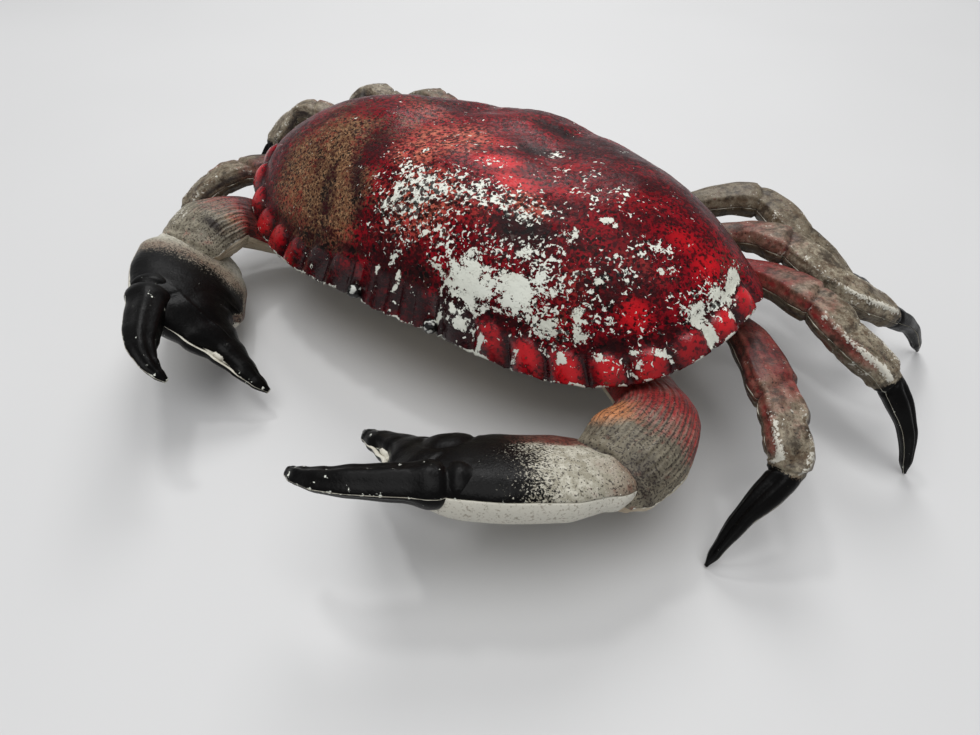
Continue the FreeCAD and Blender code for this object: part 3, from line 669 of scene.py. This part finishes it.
ARM_PATH_SHARES = {
    "left": [(0.622, -0.2, 0.548), (0.811, -0.311, 0.565), (0.894, -0.456, 0.742),
             (0.9, -0.6, 0.79), (0.883, -0.7, 0.76), (0.867, -0.768, 0.75)],
    "right": [(0.622, -0.2, 0.548), (0.822, -0.3, 0.565), (0.922, -0.422, 0.806),
              (0.939, -0.544, 0.871), (0.933, -0.644, 0.823), (0.922, -0.717, 0.774)],
}
ARM_GIRTH_SHARES = [
    (0, 0.3, 0.4, 0.4), (1, 0.35, 0.43, 0.43), (2, 0.43, 0.5, 0.5), (3, 0.5, 0.54, 0.54),
    (4, 0.46, 0.48, 0.46), (4.6, 0.36, 0.36, 0.34), (4.9, 0.2, 0.22, 0.2), (5, 0.05, 0.06, 0.06),
]
ARM_WIDTH = 27.0
ARM_THICKNESS = 16.0
ARM_STEPS = (150, 110)
ARM_LIP = 0.07


def arm_limb(side_name, side):
    points = [on_body(*s, side) for s in ARM_PATH_SHARES[side_name]]
    girths = [(p, h * ARM_WIDTH, t * ARM_THICKNESS, b * ARM_THICKNESS)
              for p, h, t, b in ARM_GIRTH_SHARES]
    return Limb(points, girths)


def arm_shape(place, angle, upward):
    """Fine lines that fan out along an arm, shallow hollows and a lip at the trimmed edge."""
    fan = math.sin(angle * 30 + 1.5 * math.sin(place * 1.7)) + 0.8 * math.sin(angle * 53 + place)
    swell = 0.13 * fan * smooth(1.0, 1.6, place) * smooth(4.2, 3.3, place)
    swell += 0.9 * bell(place, 3.3, 0.35) * bell(angle, 2.1, 0.4)
    swell += 0.7 * bell(place, 2.9, 0.30) * bell(angle, 0.7, 0.35)
    swell -= 0.8 * bell(place, 2.75, 0.22) * bell(angle, 1.5, 0.5)
    swell -= bell(place, 4.10, 0.16) * bell(angle, 1.3, 0.5)
    swell += 0.22 * grain(Vector((place * 3, angle * 2, upward * 3)), 0.6) * smooth(2.0, 3.2, place)
    lip = edge_lips(angle, ARM_LIP) * torn_edge(place, angle, upward, 9, 0.7, 0.9)
    return swell + 0.30 * lip * smooth(1.6, 2.2, place) * smooth(5.0, 4.6, place)


def arm_dye(side):
    def dye(place, angle, upward, spot):
        lip = edge_band(angle, ARM_LIP) * smooth(1.6, 2.2, place)
        fine = math.sin(angle * 53 + place + 0.8 * grain(spot, 6.0))
        brush = 0.30 * fine + 0.6 * grain(Vector((place, angle * 18, 0)), 1.0)
        inner = angle if side > 0 else math.pi - angle
        # painted shade in the arm's hollows, on the left arm also in the groove before the claw;
        # the right arm has a dark band at place 2
        if side > 0:
            shaded_hollow = bell(place, 3.75, 0.4) * bell(inner, 2.3, 0.8)
            dark = 0.7 * max(shaded_hollow, bell(place, 4.15, 0.2))
            red = smooth(3.3, 1.9, place + 0.55 * brush + 0.35 * bell(inner, 0.6, 0.5))
        else:
            shaded_hollow = bell(place, 3.35, 0.22) * bell(inner, 0.9, 0.5)
            dark = max(shaded_hollow, 0.85 * bell(place, 2.0, 0.30))
            red = smooth(3.3, 2.0, place + 0.45 * brush)
        lines = (0.25 + 0.45 * max(0.0, fine)) * smooth(1.4, 1.9, place) * smooth(4.4, 2.9, place)
        lines += 0.35 * grain(Vector((place * 1.5, angle * 22, 3)), 1.0)
        return {
            "reddened": red * (1.0 if upward > 0 else 0.2),
            "warmed": bell(place, 2.75, 0.55) * bell(inner, 0.7, 0.6) * (1.2 if side > 0 else 0.4),
            "darkened": max(dark, lines) * (1.0 if upward > 0 else 0.3),
            "browned": 0.6 * smooth(2.2, 3.2, place) if side > 0 else 0.25,
            "whitened": 0.5 * bell(place, 3.4, 0.4) * bell(angle, 0.9, 0.6) if side < 0 else 0.0,
            "edge": 0.8 * lip,
        }
    return dye


CLAW_PLACE_SHARES = {
    "left": (0.919, -0.724, 0.81, 209.1, 30.7),
    "right": (0.998, -0.64, 0.723, 214.3, 41.5),
}
PALM_SHARES = [
    (-0.04, 0.17, 0.26, 0.26, 0.28), (0.06, 0.15, 0.42, 0.38, 0.46),
    (0.2, 0.07, 0.51, 0.44, 0.58), (0.36, 0, 0.515, 0.44, 0.6), (0.46, -0.033, 0.49, 0.42, 0.58),
    (0.55, -0.02, 0.42, 0.38, 0.48), (0.63, 0.12, 0.3, 0.3, 0.34), (0.7, 0.26, 0.2, 0.23, 0.22),
    (0.77, 0.385, 0.135, 0.19, 0.15), (0.83, 0.5, 0.08, 0.13, 0.1),
    (0.866, 0.605, 0.022, 0.05, 0.04),
]
FINGER_SHARES = [
    (0.42, -0.3, 0.17, 0.32, 0.28), (0.53, -0.36, 0.185, 0.34, 0.24),
    (0.65, -0.41, 0.15, 0.31, 0.155), (0.77, -0.445, 0.135, 0.27, 0.12),
    (0.86, -0.45, 0.11, 0.21, 0.09), (0.93, -0.4, 0.08, 0.15, 0.065),
    (0.97, -0.335, 0.05, 0.1, 0.06), (0.99, -0.27, 0.02, 0.05, 0.03),
]
# The palm is wide where it bends, so the run of its middle line is taken over this many of
# its rows on each side; over a shorter stretch its cross-sections would meet.
CLAW_BEND_REACH = 4
CLAW_ROWS = 26
PALM_STEPS = (170, 60)
FINGER_STEPS = (120, 40)
PALM_LIP = 0.05
PALM_PAINT_LIP = 0.06
FINGER_LIP = 0.07
FINGER_PAINT_LIP = 0.09
CLAW_LENGTH = 78.0
PALM_WIDTH = 36.0
PALM_THICKNESS = 17.0


def claw_axes(side_name, side):
    outwards, fore, height, heading, tilt = CLAW_PLACE_SHARES[side_name]
    turn, lean = math.radians(heading), math.radians(tilt)
    wrist = on_body(outwards, fore, height, side)
    ahead = Vector((side * math.cos(turn), math.sin(turn), 0))
    level = Vector((side * math.sin(turn), -math.cos(turn), 0))
    across = level * math.cos(lean) - UP * math.sin(lean)
    normal = level * math.sin(lean) + UP * math.cos(lean)
    return wrist, ahead, across, normal


def claw_limb(side_name, side, table):
    wrist, ahead, across, normal = claw_axes(side_name, side)
    points, girths = [], []
    for k, (along, aside, half, top, bottom) in enumerate(table):
        points.append(wrist + ahead * (along * CLAW_LENGTH) + across * (aside * PALM_WIDTH))
        girths.append((float(k), half * PALM_WIDTH, top * PALM_THICKNESS, bottom * PALM_THICKNESS))
    reach = CLAW_BEND_REACH * (len(table) - 1) / (CLAW_ROWS - 1)
    return Limb(points, girths, normal, reach)


def palm_shape(side):
    def shape(place, angle, upward):
        turn = angle if side > 0 else math.pi - angle
        swell = 0.0
        if upward > 0:
            # the knob beside the movable finger, bolder on the left claw
            knob = math.hypot((place - 5.15) / 0.80, (turn - 1.15) / 0.50)
            bold = 1.0 if side > 0 else 0.25
            swell += (1.3 * math.exp(-knob ** 4) - 0.45 * bell(knob, 1.3, 0.2)) * bold
            swell -= 2.6 * smooth(2.0, 2.9, turn) * bell(place, 7.0, 0.9)
            crease = bell(place, 4.45 - 0.5 * math.cos(turn), 0.07) * smooth(1.7, 2.3, turn)
            swell -= 0.5 * crease
            if side < 0:
                seam = bell(turn, 2.0 - 0.22 * (place - 4.6), 0.05)
                swell += 0.35 * seam * smooth(4.2, 4.6, place) * smooth(7.0, 6.4, place)
        uneven = grain(Vector((place * 1.3, turn * 2, upward)), 0.7)
        swell += 0.14 * uneven * smooth(0.5, 1.5, place)
        if side > 0:
            dent = grain(Vector((place * 2.2, turn * 2.5, 4.0)), 0.8)
            swell += 0.35 * dent * smooth(2.2, 1.0, place) * smooth(0.3, 0.8, place)
        lip = edge_lips(angle, PALM_LIP) * torn_edge(place, angle, upward, 6, 0.6, 0.7)
        return swell + 0.12 * lip * smooth(10.0, 8.5, place)
    return shape


def finger_shape(place, angle, upward):
    swell = 0.22 * math.cos(angle * 6) * smooth(0.8, 2.0, place) * smooth(7.0, 5.0, place)
    swell += 0.5 * bell(place, 1.35, 0.25) - bell(place, 0.90, 0.10) + 0.3 * bell(place, 0.6, 0.15)
    lip = edge_lips(angle, FINGER_LIP) * torn_edge(place, angle, upward, 6, 0.7, 0.9)
    return swell + 0.12 * lip * smooth(6.4, 5.0, place)


def palm_dye(side):
    def dye(place, angle, upward, spot):
        turn = angle if side > 0 else math.pi - angle
        lip = edge_band(angle, PALM_PAINT_LIP)
        if side > 0:
            black = smooth(0.9, 3.9, place + 0.25 * grain(spot, 8.0))
            strip = smooth(1.75, 1.50, turn + 0.12 * grain(spot, 4.0))
            strip *= smooth(0.7, 1.3, place) * smooth(4.6, 3.2, place)
            brown = max(0.9 * strip, 0.85 * smooth(1.7, 0.5, place + 0.3 * grain(spot, 5.0)))
            red = 0.9 * strip
            # darker at the wrist end, painted shade where the claw meets the arm
            dark = max(0.5 * strip, 0.6 * smooth(0.8, 0.1, place + 0.3 * grain(spot, 4.0)))
            pale = 0.2 * smooth(2.6, 1.6, place) * (1 - strip)
        else:
            strip = smooth(0.62, 0.30, turn)
            black = smooth(1.5, 3.3, place + 0.15 * grain(spot, 8.0))
            black *= 1 - 0.75 * strip * smooth(5.6, 4.8, place)
            brush = 0.5 + 0.5 * math.sin(turn * 60 + 2.0 * grain(spot, 4.0))
            brown = max(0.9 * strip, 0.75 * bell(place, 2.35, 0.5))
            red = 0.35 * strip
            dark = max(0.45 * brush * smooth(0.9, 1.8, place),
                       0.4 * strip * smooth(1.5, 3.0, place))
            pale = 0.45 * smooth(2.6, 1.2, place)
        if upward < 0:
            black = smooth(5.2, 6.4, place) if side > 0 else smooth(4.0, 5.0, place)
            brown = 0.35 if side > 0 else 0.75
            red = 0.0 if side > 0 else 0.3
            dark = 0.0
        return {
            "blackened": black,
            "reddened": red,
            "browned": brown,
            "darkened": dark,
            "whitened": pale if upward > 0 else 0.8,
            "edge": 0.55 * lip,
            "chipped": 0.9 * smooth(5.6, 9.4, place),
            "tapered": smooth(8.0, 9.8, place),
        }
    return dye


def finger_dye(place, angle, _upward, _spot):
    return {
        "blackened": 1.0,
        "edge": 0.7 * edge_band(angle, FINGER_PAINT_LIP),
        "chipped": 0.45 + 0.75 * smooth(4.2, 6.6, place),
        "tapered": smooth(5.4, 6.8, place),
    }


def joined(pieces, name):
    """Several sheets as one object."""
    with bpy.context.temp_override(active_object=pieces[0], selected_editable_objects=pieces,
                                   selected_objects=pieces, object=pieces[0]):
        bpy.ops.object.join()
    pieces[0].name = name
    pieces[0].data.name = name
    return pieces[0]


# ---- finishes
class Finish:
    """A procedural finish on Object coordinates and on the painted channels of a skin."""

    def __init__(self, name):
        self.material = bpy.data.materials.new(name)
        self.material.use_nodes = True
        self.tree = self.material.node_tree
        self.shader = self.tree.nodes["Principled BSDF"]
        self.where = self.add("ShaderNodeTexCoord").outputs["Object"]

    def add(self, kind, **settings):
        node = self.tree.nodes.new(kind)
        for key, value in settings.items():
            setattr(node, key, value)
        return node

    def feed(self, socket, value):
        if hasattr(value, "links"):
            self.tree.links.new(value, socket)
        else:
            socket.default_value = (*value, 1) if isinstance(value, tuple) else value

    def maths(self, operation, a, b, clamp=False):
        node = self.add("ShaderNodeMath", operation=operation, use_clamp=clamp)
        self.feed(node.inputs[0], a)
        self.feed(node.inputs[1], b)
        return node.outputs[0]

    def plus(self, a, b):
        return self.maths("ADD", a, b)

    def minus(self, a, b):
        return self.maths("SUBTRACT", a, b)

    def times(self, a, b):
        return self.maths("MULTIPLY", a, b)

    def most(self, a, b):
        return self.maths("MAXIMUM", a, b, clamp=True)

    def total(self, first, *parts):
        """The first value and each other value times its weight, added up."""
        for value, weight in parts:
            first = self.plus(first, self.times(value, weight))
        return first

    def ruffled(self, level, unevenness, depth):
        """The level made uneven by a noise, by up to depth either way."""
        return self.plus(level, self.span(unevenness, 0.3, 0.7, -depth, depth))

    def noise(self, size, detail=2.0, rough=0.5, shift=0.0, twist=0.0):
        """Noise with features of about size millimetres."""
        spot = self.where
        if shift:
            move = self.add("ShaderNodeMapping")
            self.feed(move.inputs["Vector"], spot)
            move.inputs["Location"].default_value = (shift, shift * 0.7, -shift)
            spot = move.outputs["Vector"]
        node = self.add("ShaderNodeTexNoise")
        self.feed(node.inputs["Vector"], spot)
        node.inputs["Scale"].default_value = 1000.0 / size
        node.inputs["Detail"].default_value = detail
        node.inputs["Roughness"].default_value = rough
        node.inputs["Distortion"].default_value = twist
        return node.outputs["Fac"]

    def cells(self, size):
        node = self.add("ShaderNodeTexVoronoi", feature="F1")
        self.feed(node.inputs["Vector"], self.where)
        node.inputs["Scale"].default_value = 1000.0 / size
        return node.outputs["Distance"]

    def channel(self, name):
        return self.add("ShaderNodeAttribute", attribute_name=name).outputs["Fac"]

    def span(self, value, low, high, start=0.0, stop=1.0):
        node = self.add("ShaderNodeMapRange")
        node.clamp = True
        self.feed(node.inputs["Value"], value)
        ends = {"From Min": low, "From Max": high, "To Min": start, "To Max": stop}
        for key, number in ends.items():
            node.inputs[key].default_value = number
        return node.outputs["Result"]

    def mix(self, share, under, over):
        node = self.add("ShaderNodeMix", data_type="RGBA")
        self.feed(node.inputs[0], share)
        self.feed(node.inputs[6], under)
        self.feed(node.inputs[7], over)
        return node.outputs[2]

    def bump(self, height, depth, strength=1.0, normal=None):
        node = self.add("ShaderNodeBump")
        node.inputs["Strength"].default_value = strength
        node.inputs["Distance"].default_value = depth * MM
        self.feed(node.inputs["Height"], height)
        if normal is not None:
            self.feed(node.inputs["Normal"], normal)
        return node.outputs["Normal"]

    def set(self, **sockets):
        for key, value in sockets.items():
            self.feed(self.shader.inputs[key.replace("_", " ")], value)


CHALK = (0.76, 0.78, 0.70)
OLD_CHALK = (0.66, 0.67, 0.58)
SOOT = (0.004, 0.0035, 0.0035)
MAROON_SOOT = (0.030, 0.004, 0.005)
DEEP_RED = (0.11, 0.002, 0.005)
PLAIN_RED = (0.27, 0.004, 0.011)
CLEAR_RED = (0.56, 0.008, 0.014)
SALMON = (0.55, 0.16, 0.10)
CORAL = (0.40, 0.045, 0.040)
MAROON = (0.030, 0.002, 0.004)
BLACK_RED = (0.012, 0.004, 0.005)
TAN = (0.34, 0.195, 0.100)
TAN_ROOTS = (0.045, 0.018, 0.011)
BROWN = (0.110, 0.048, 0.022)
RUST = (0.26, 0.085, 0.035)
ORANGE = (0.58, 0.22, 0.08)
BRUSHED_WHITE = (0.66, 0.64, 0.56)
GRIME = (0.022, 0.015, 0.010)
SPECK_BROWN = (0.02, 0.014, 0.012)
SHADE_BROWN = (0.016, 0.010, 0.009)
TIP_BLACK = (0.0022, 0.0020, 0.0020)
STAIN = (0.10, 0.06, 0.035)


def body_paint():
    """Mottled red with tan and salmon places, dark specks, dark paint and painted shade, a painted
    highlight on the lobe tops, and paint off in nets and flakes.
    """
    f = Finish("shell_paint")
    flaked, netted, tanned, warmed, darkened, bright, lobed = [
        f.channel(name) for name in SHELL_CHANNELS[:7]]
    wide = f.noise(14.0, 3.0)
    mottle = f.noise(3.0, 4.0, 0.6, 0.3)
    fine = f.noise(0.6, 2.0, 0.6, 1.1)
    dense = f.noise(1.25, 3.0, 0.62, 6.0)
    fur = f.noise(0.8, 3.0, 0.62, 9.0, 1.2)
    red = f.mix(f.span(wide, 0.35, 0.65), DEEP_RED, PLAIN_RED)
    # clear bright red, and the painted highlight on the lobe tops
    red = f.mix(f.span(bright, 0.15, 0.9, 0.0, 0.95), red, CLEAR_RED)
    warm = f.mix(f.span(mottle, 0.4, 0.6), SALMON, CORAL)
    red = f.mix(f.span(f.ruffled(warmed, mottle, 0.35), 0.2, 0.9), red, warm)
    # a dense dark mottle over the red, thinner where it is clear and bright
    dark = f.total(dense, (bright, -0.10), (darkened, 0.07), (lobed, -0.03))
    red = f.mix(f.span(dark, 0.46, 0.56, 0.0, 0.86), red, MAROON)
    tan = f.mix(f.span(fur, 0.42, 0.62), TAN_ROOTS, TAN)
    tan = f.mix(f.span(mottle, 0.42, 0.62, 0.0, 0.65), tan, BROWN)
    tan = f.mix(f.span(f.ruffled(warmed, mottle, 0.2), 0.3, 0.9, 0.0, 0.75), tan, RUST)
    patchy = f.ruffled(f.ruffled(tanned, wide, 0.28), dense, 0.25)
    base = f.mix(f.span(patchy, 0.22, 0.80), red, tan)
    # dark specks: round, about a millimetre apart, larger and closer where the shell is dark
    spread = f.total(f.span(wide, 0.3, 0.7, 0.20, 0.34), (darkened, 0.20), (warmed, 0.06),
                     (netted, 0.15), (bright, -0.12), (lobed, -0.25))
    uneven = f.minus(fine, 0.5)
    ragged = f.times(uneven, 0.9)
    dots = f.span(f.minus(spread, f.plus(f.cells(1.45), ragged)), -0.03, 0.03)
    small = f.span(f.minus(spread, f.plus(f.cells(0.95), ragged)), -0.05, 0.05)
    small = f.times(small, f.span(tanned, 0.2, 0.6, 0.25, 0.9))
    marks = f.most(dots, small)
    # dark paint and painted shade, soft as sprayed paint
    shade = f.span(f.ruffled(darkened, mottle, 0.3), 0.2, 1.0, 0.0, 0.94)
    base = f.mix(shade, base, BLACK_RED)
    # the net of bare plastic, with the specks left standing in it
    net = f.noise(1.35, 2.0, 0.55, 3.1, 0.7)
    clump = f.minus(f.noise(5.0, 3.0, 0.6, 4.0), 0.5)
    field = f.total(net, (netted, 0.36), (clump, 0.62), (tanned, -0.05))
    bare_net = f.span(field, 0.748, 0.764)
    base = f.mix(bare_net, base, CHALK)
    speck = f.mix(f.span(mottle, 0.45, 0.55), SOOT, MAROON_SOOT)
    base = f.mix(f.times(marks, 0.93), base, speck)
    # whole flakes
    torn = f.minus(f.noise(3.4, 7.0, 0.68, 2.0, 0.3), 0.5)
    whole = f.span(f.total(flaked, (torn, 3.1), (uneven, 0.7)), 0.60, 0.63)
    base = f.mix(whole, base, f.mix(f.span(wide, 0.3, 0.7), CHALK, OLD_CHALK))
    bare = f.most(whole, bare_net)
    f.set(Base_Color=base)
    f.set(Roughness=f.total(f.span(mottle, 0.3, 0.7, 0.26, 0.40), (lobed, -0.18), (bare, 0.14)))
    f.set(Specular_IOR_Level=f.span(lobed, 0.2, 0.9, 0.07, 0.42))
    grit = f.total(f.times(marks, -0.4), (fine, 0.30), (bare, -0.8))
    f.set(Normal=f.bump(mottle, 0.6, 0.35, f.bump(grit, 0.18, 0.9)))
    return f.material


def limb_paint(name, pale, mid, brown, red, speck_size, speck_level, gloss, soft=0.72, grime=0.0):
    """Pale dry-brushed limb paint with red and brown places, dark places of paint and of painted
    shade, painted highlights along the leg keels, and black sprayed tips.
    """
    f = Finish(name)
    blackened, reddened, darkened, edge, chipped, warmed, browned, whitened = [
        f.channel(name) for name in LIMB_CHANNELS[:8]]
    wide = f.noise(9.0, 3.0)
    mottle = f.noise(2.4, 5.0, 0.65, 0.4)
    specks = f.noise(speck_size, 2.0, 0.55, 0.9)
    grey = f.noise(1.0, 4.0, 0.7, 8.0)
    base = f.mix(f.span(mottle, 0.40, 0.60), mid, pale)
    base = f.mix(f.span(grey, 0.48, 0.64, 0.0, 0.75), base, mid)
    base = f.mix(f.span(f.ruffled(browned, mottle, 0.3), 0.15, 0.9, 0.0, 0.9), base, brown)
    base = f.mix(f.span(f.ruffled(warmed, wide, 0.2), 0.2, 0.85, 0.0, 0.85), base, ORANGE)
    blush = f.ruffled(f.ruffled(reddened, mottle, 0.32), wide, 0.2)
    base = f.mix(f.span(blush, 0.2, 1.0, 0.0, 0.94), base, red)
    patches = f.noise(4.5, 5.0, 0.7, 3.3)
    base = f.mix(f.span(patches, 0.50, 0.62, 0.0, grime), base, GRIME)
    # pale dry-brushed paint, along the leg keels partly a painted highlight
    brushed = f.total(f.span(patches, 0.34, 0.46, 0.22 * grime, 0.0), (whitened, 0.34),
                      (specks, 0.5), (grey, 0.5))
    base = f.mix(f.span(brushed, 0.66, 0.74, 0.0, 0.85), base, BRUSHED_WHITE)
    level = f.ruffled(f.noise(speck_size * 0.9, 2.0, 0.5, 5.0), wide, 0.04)
    level = f.total(level, (darkened, 0.12), (whitened, -0.30))
    base = f.mix(f.span(level, speck_level, speck_level + 0.06, 0.0, 0.85), base, SPECK_BROWN)
    # dark paint and painted shade of the joint folds, hollows and shaded sides
    shade = f.span(f.ruffled(darkened, mottle, 0.25), 0.25, 1.0, 0.0, 0.92)
    base = f.mix(shade, base, SHADE_BROWN)
    spray = f.total(f.noise(0.55, 2.0, 0.6, 7.0), (f.minus(blackened, 0.5), soft))
    black = f.span(spray, 0.50, 0.62)
    base = f.mix(black, base, TIP_BLACK)
    wear = f.total(f.noise(2.0, 5.0, 0.65, 2.0), (chipped, 0.10), (edge, 0.17))
    bare = f.span(wear, 0.715, 0.73)
    f.set(Base_Color=f.mix(bare, base, CHALK))
    f.set(Roughness=f.total(f.span(mottle, 0.3, 0.7, 0.40, 0.52), (black, -gloss), (bare, 0.1)))
    f.set(Specular_IOR_Level=f.span(black, 0.0, 1.0, 0.20, 0.085))
    grit = f.total(f.times(specks, 0.5), (bare, -0.8))
    f.set(Normal=f.bump(mottle, 0.5, 0.35, f.bump(grit, 0.16, 0.8)))
    return f.material


def bare_plastic(name, colour, stain):
    f = Finish(name)
    wide = f.noise(14.0, 4.0, 0.6)
    fine = f.noise(1.2, 2.0, 0.5, 0.4)
    base = f.mix(f.span(wide, 0.4, 0.68), colour, stain)
    base = f.mix(f.span(fine, 0.62, 0.7, 0.0, 0.35), base, STAIN)
    f.set(Base_Color=base, Roughness=f.span(wide, 0.3, 0.7, 0.4, 0.55))
    f.set(Specular_IOR_Level=0.35)
    f.set(Normal=f.bump(fine, 0.12, 0.4))
    return f.material


shell_paint = body_paint()
claw_paint = limb_paint("claw_paint", (0.52, 0.50, 0.42), (0.28, 0.26, 0.20),
                        (0.16, 0.10, 0.065), (0.20, 0.035, 0.025), 0.62, 0.535, 0.12, 0.80)
arm_paint = limb_paint("arm_paint", (0.38, 0.35, 0.27), (0.15, 0.13, 0.095),
                       (0.13, 0.11, 0.075), (0.30, 0.014, 0.018), 0.6, 0.59, 0.2,
                       grime=0.35)
leg_paint = limb_paint("leg_paint", (0.44, 0.39, 0.29), (0.115, 0.080, 0.052),
                       (0.085, 0.066, 0.040), (0.19, 0.010, 0.012), 0.6, 0.635, 0.12,
                       grime=0.75)
pale_skin = bare_plastic("pale_skin", (0.50, 0.44, 0.33), (0.34, 0.25, 0.16))
raw_plastic = bare_plastic("raw_plastic", (0.60, 0.58, 0.50), (0.46, 0.42, 0.34))

# ---- pieces
shell = body_skin("Body_upper_skin", UPPER_STEPS, upper_place, SHELL_CHANNELS, 1.0, shell_paint)
place_piece(shell, "upper_body_skin", "body_paint")
belly = body_skin("Body_lower_skin", LOWER_STEPS, lower_place, ("edge",), -1.0, pale_skin)
place_piece(belly, "lower_body_skin", "bare_skin")

for side_name, side in (("left", 1), ("right", -1)):
    arm = arm_limb(side_name, side)
    for half, upward in HALVES:
        paint, slot = (arm_paint, "arm_paint") if upward > 0 else (pale_skin, "bare_skin")
        piece = limb_skin("Arm_%s_%s" % (side_name, half), arm, upward, ARM_STEPS, arm_shape,
                          arm_dye(side), paint)
        place_piece(piece, "%s_arm_%s_skin" % (side_name, half), slot)
    palm = claw_limb(side_name, side, PALM_SHARES)
    finger = claw_limb(side_name, side, FINGER_SHARES)
    for half, upward in HALVES:
        base = limb_skin("Palm_%s_%s" % (side_name, half), palm, upward, PALM_STEPS,
                         palm_shape(side), palm_dye(side), claw_paint)
        tip = limb_skin("Finger_%s_%s" % (side_name, half), finger, upward, FINGER_STEPS,
                        finger_shape, finger_dye, claw_paint)
        piece = joined([base, tip], "Claw_%s_%s" % (side_name, half))
        slot = "claw_paint" if upward > 0 else "bare_skin"
        place_piece(piece, "%s_claw_%s_skin" % (side_name, half), slot)
    for number in (1, 2, 3, 4):
        leg = leg_limb(side_name, number, side)
        for half, upward in HALVES:
            piece = limb_skin("Leg_%s_%d_%s" % (side_name, number, half), leg, upward, LEG_STEPS,
                              leg_shape, leg_dye(side_name, number), leg_paint)
            slot = "leg_paint" if upward > 0 else "bare_skin"
            place_piece(piece, "%s_leg_%d_%s_skin" % (side_name, number, half), slot)

EYE_RADIUS = 2.25
EYE_INSET = 2.0
EYE_LIFT = 0.9


def eye(name, side):
    """Eyeball moulded in the front rim."""
    level = rim_level(Vector((ORBIT, -FRONT, 0))) + EYE_LIFT
    bm = bmesh.new()
    bmesh.ops.create_uvsphere(bm, u_segments=32, v_segments=20, radius=EYE_RADIUS)
    bmesh.ops.translate(bm, verts=bm.verts, vec=(side * ORBIT, EYE_INSET - FRONT, level))
    bmesh.ops.scale(bm, verts=bm.verts, vec=(MM, MM, MM))
    piece = new_piece(name, bm)
    f = Finish(name + "_paint")
    spots = f.span(f.noise(1.6, 3.0), 0.56, 0.60)
    f.set(Base_Color=f.mix(spots, SOOT, (0.50, 0.51, 0.47)), Roughness=0.2)
    piece.data.materials.append(f.material)
    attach(piece, "root")


eye("Eye_left", 1)
eye("Eye_right", -1)


# ---- stage, lamps and camera
FLOOR_HALF = 3.0


def floor():
    bm = bmesh.new()
    bmesh.ops.create_grid(bm, x_segments=2, y_segments=2, size=FLOOR_HALF)
    piece = new_piece("Floor", bm)
    f = Finish("pale_floor")
    cloud = f.mix(f.noise(180.0, 2.0), (0.56, 0.56, 0.56), (0.61, 0.61, 0.61))
    f.set(Base_Color=cloud, Roughness=0.6)
    piece.data.materials.append(f.material)


def lamp(name, spot, target, size, power):
    light = bpy.data.lights.new(name, "AREA")
    light.shape = "DISK"
    light.size = size
    light.energy = power
    holder = bpy.data.objects.new(name, light)
    holder.location = spot
    holder.rotation_euler = (Vector(target) - Vector(spot)).to_track_quat("-Z", "Y").to_euler()
    bpy.context.scene.collection.objects.link(holder)


floor()
lamp("Window", (-0.45, 0.80, 0.95), (0, 0, 0.02), 0.6, 7.0)
lamp("Ceiling", (0.15, -0.25, 1.25), (0, -0.05, 0), 1.2, 10.0)
lamp("Pane", (-0.30, 0.10, 0.80), (0, 0, 0.02), 0.10, 1.0)

world = bpy.data.worlds.new("Room")
bpy.context.scene.world = world
world.use_nodes = True
world.node_tree.nodes["Background"].inputs["Color"].default_value = (0.97, 0.98, 1.0, 1)
world.node_tree.nodes["Background"].inputs["Strength"].default_value = 0.37

AZIMUTH = math.radians(34.3)
ELEVATION = math.radians(42.6)
ROLL = math.radians(0.57)
CAMERA_SPOT = Vector((115.4, -168.9, 157.3))
camera_data = bpy.data.cameras.new("Camera")
camera_data.sensor_width = 36.0
camera_data.lens = 25.714
camera_data.clip_start = 0.01
camera = bpy.data.objects.new("Camera", camera_data)
ahead = Vector((-math.sin(AZIMUTH) * math.cos(ELEVATION),
                math.cos(AZIMUTH) * math.cos(ELEVATION), -math.sin(ELEVATION)))
right = Vector((math.cos(AZIMUTH), math.sin(AZIMUTH), 0))
above = right.cross(ahead)
turned_right = right * math.cos(ROLL) + above * math.sin(ROLL)
turned_above = above * math.cos(ROLL) - right * math.sin(ROLL)
pose = Matrix((turned_right, turned_above, -ahead)).transposed().to_4x4()
pose.translation = CAMERA_SPOT * MM
camera.matrix_world = pose
bpy.context.scene.collection.objects.link(camera)
bpy.context.scene.camera = camera

bpy.context.scene.view_settings.view_transform = "Standard"
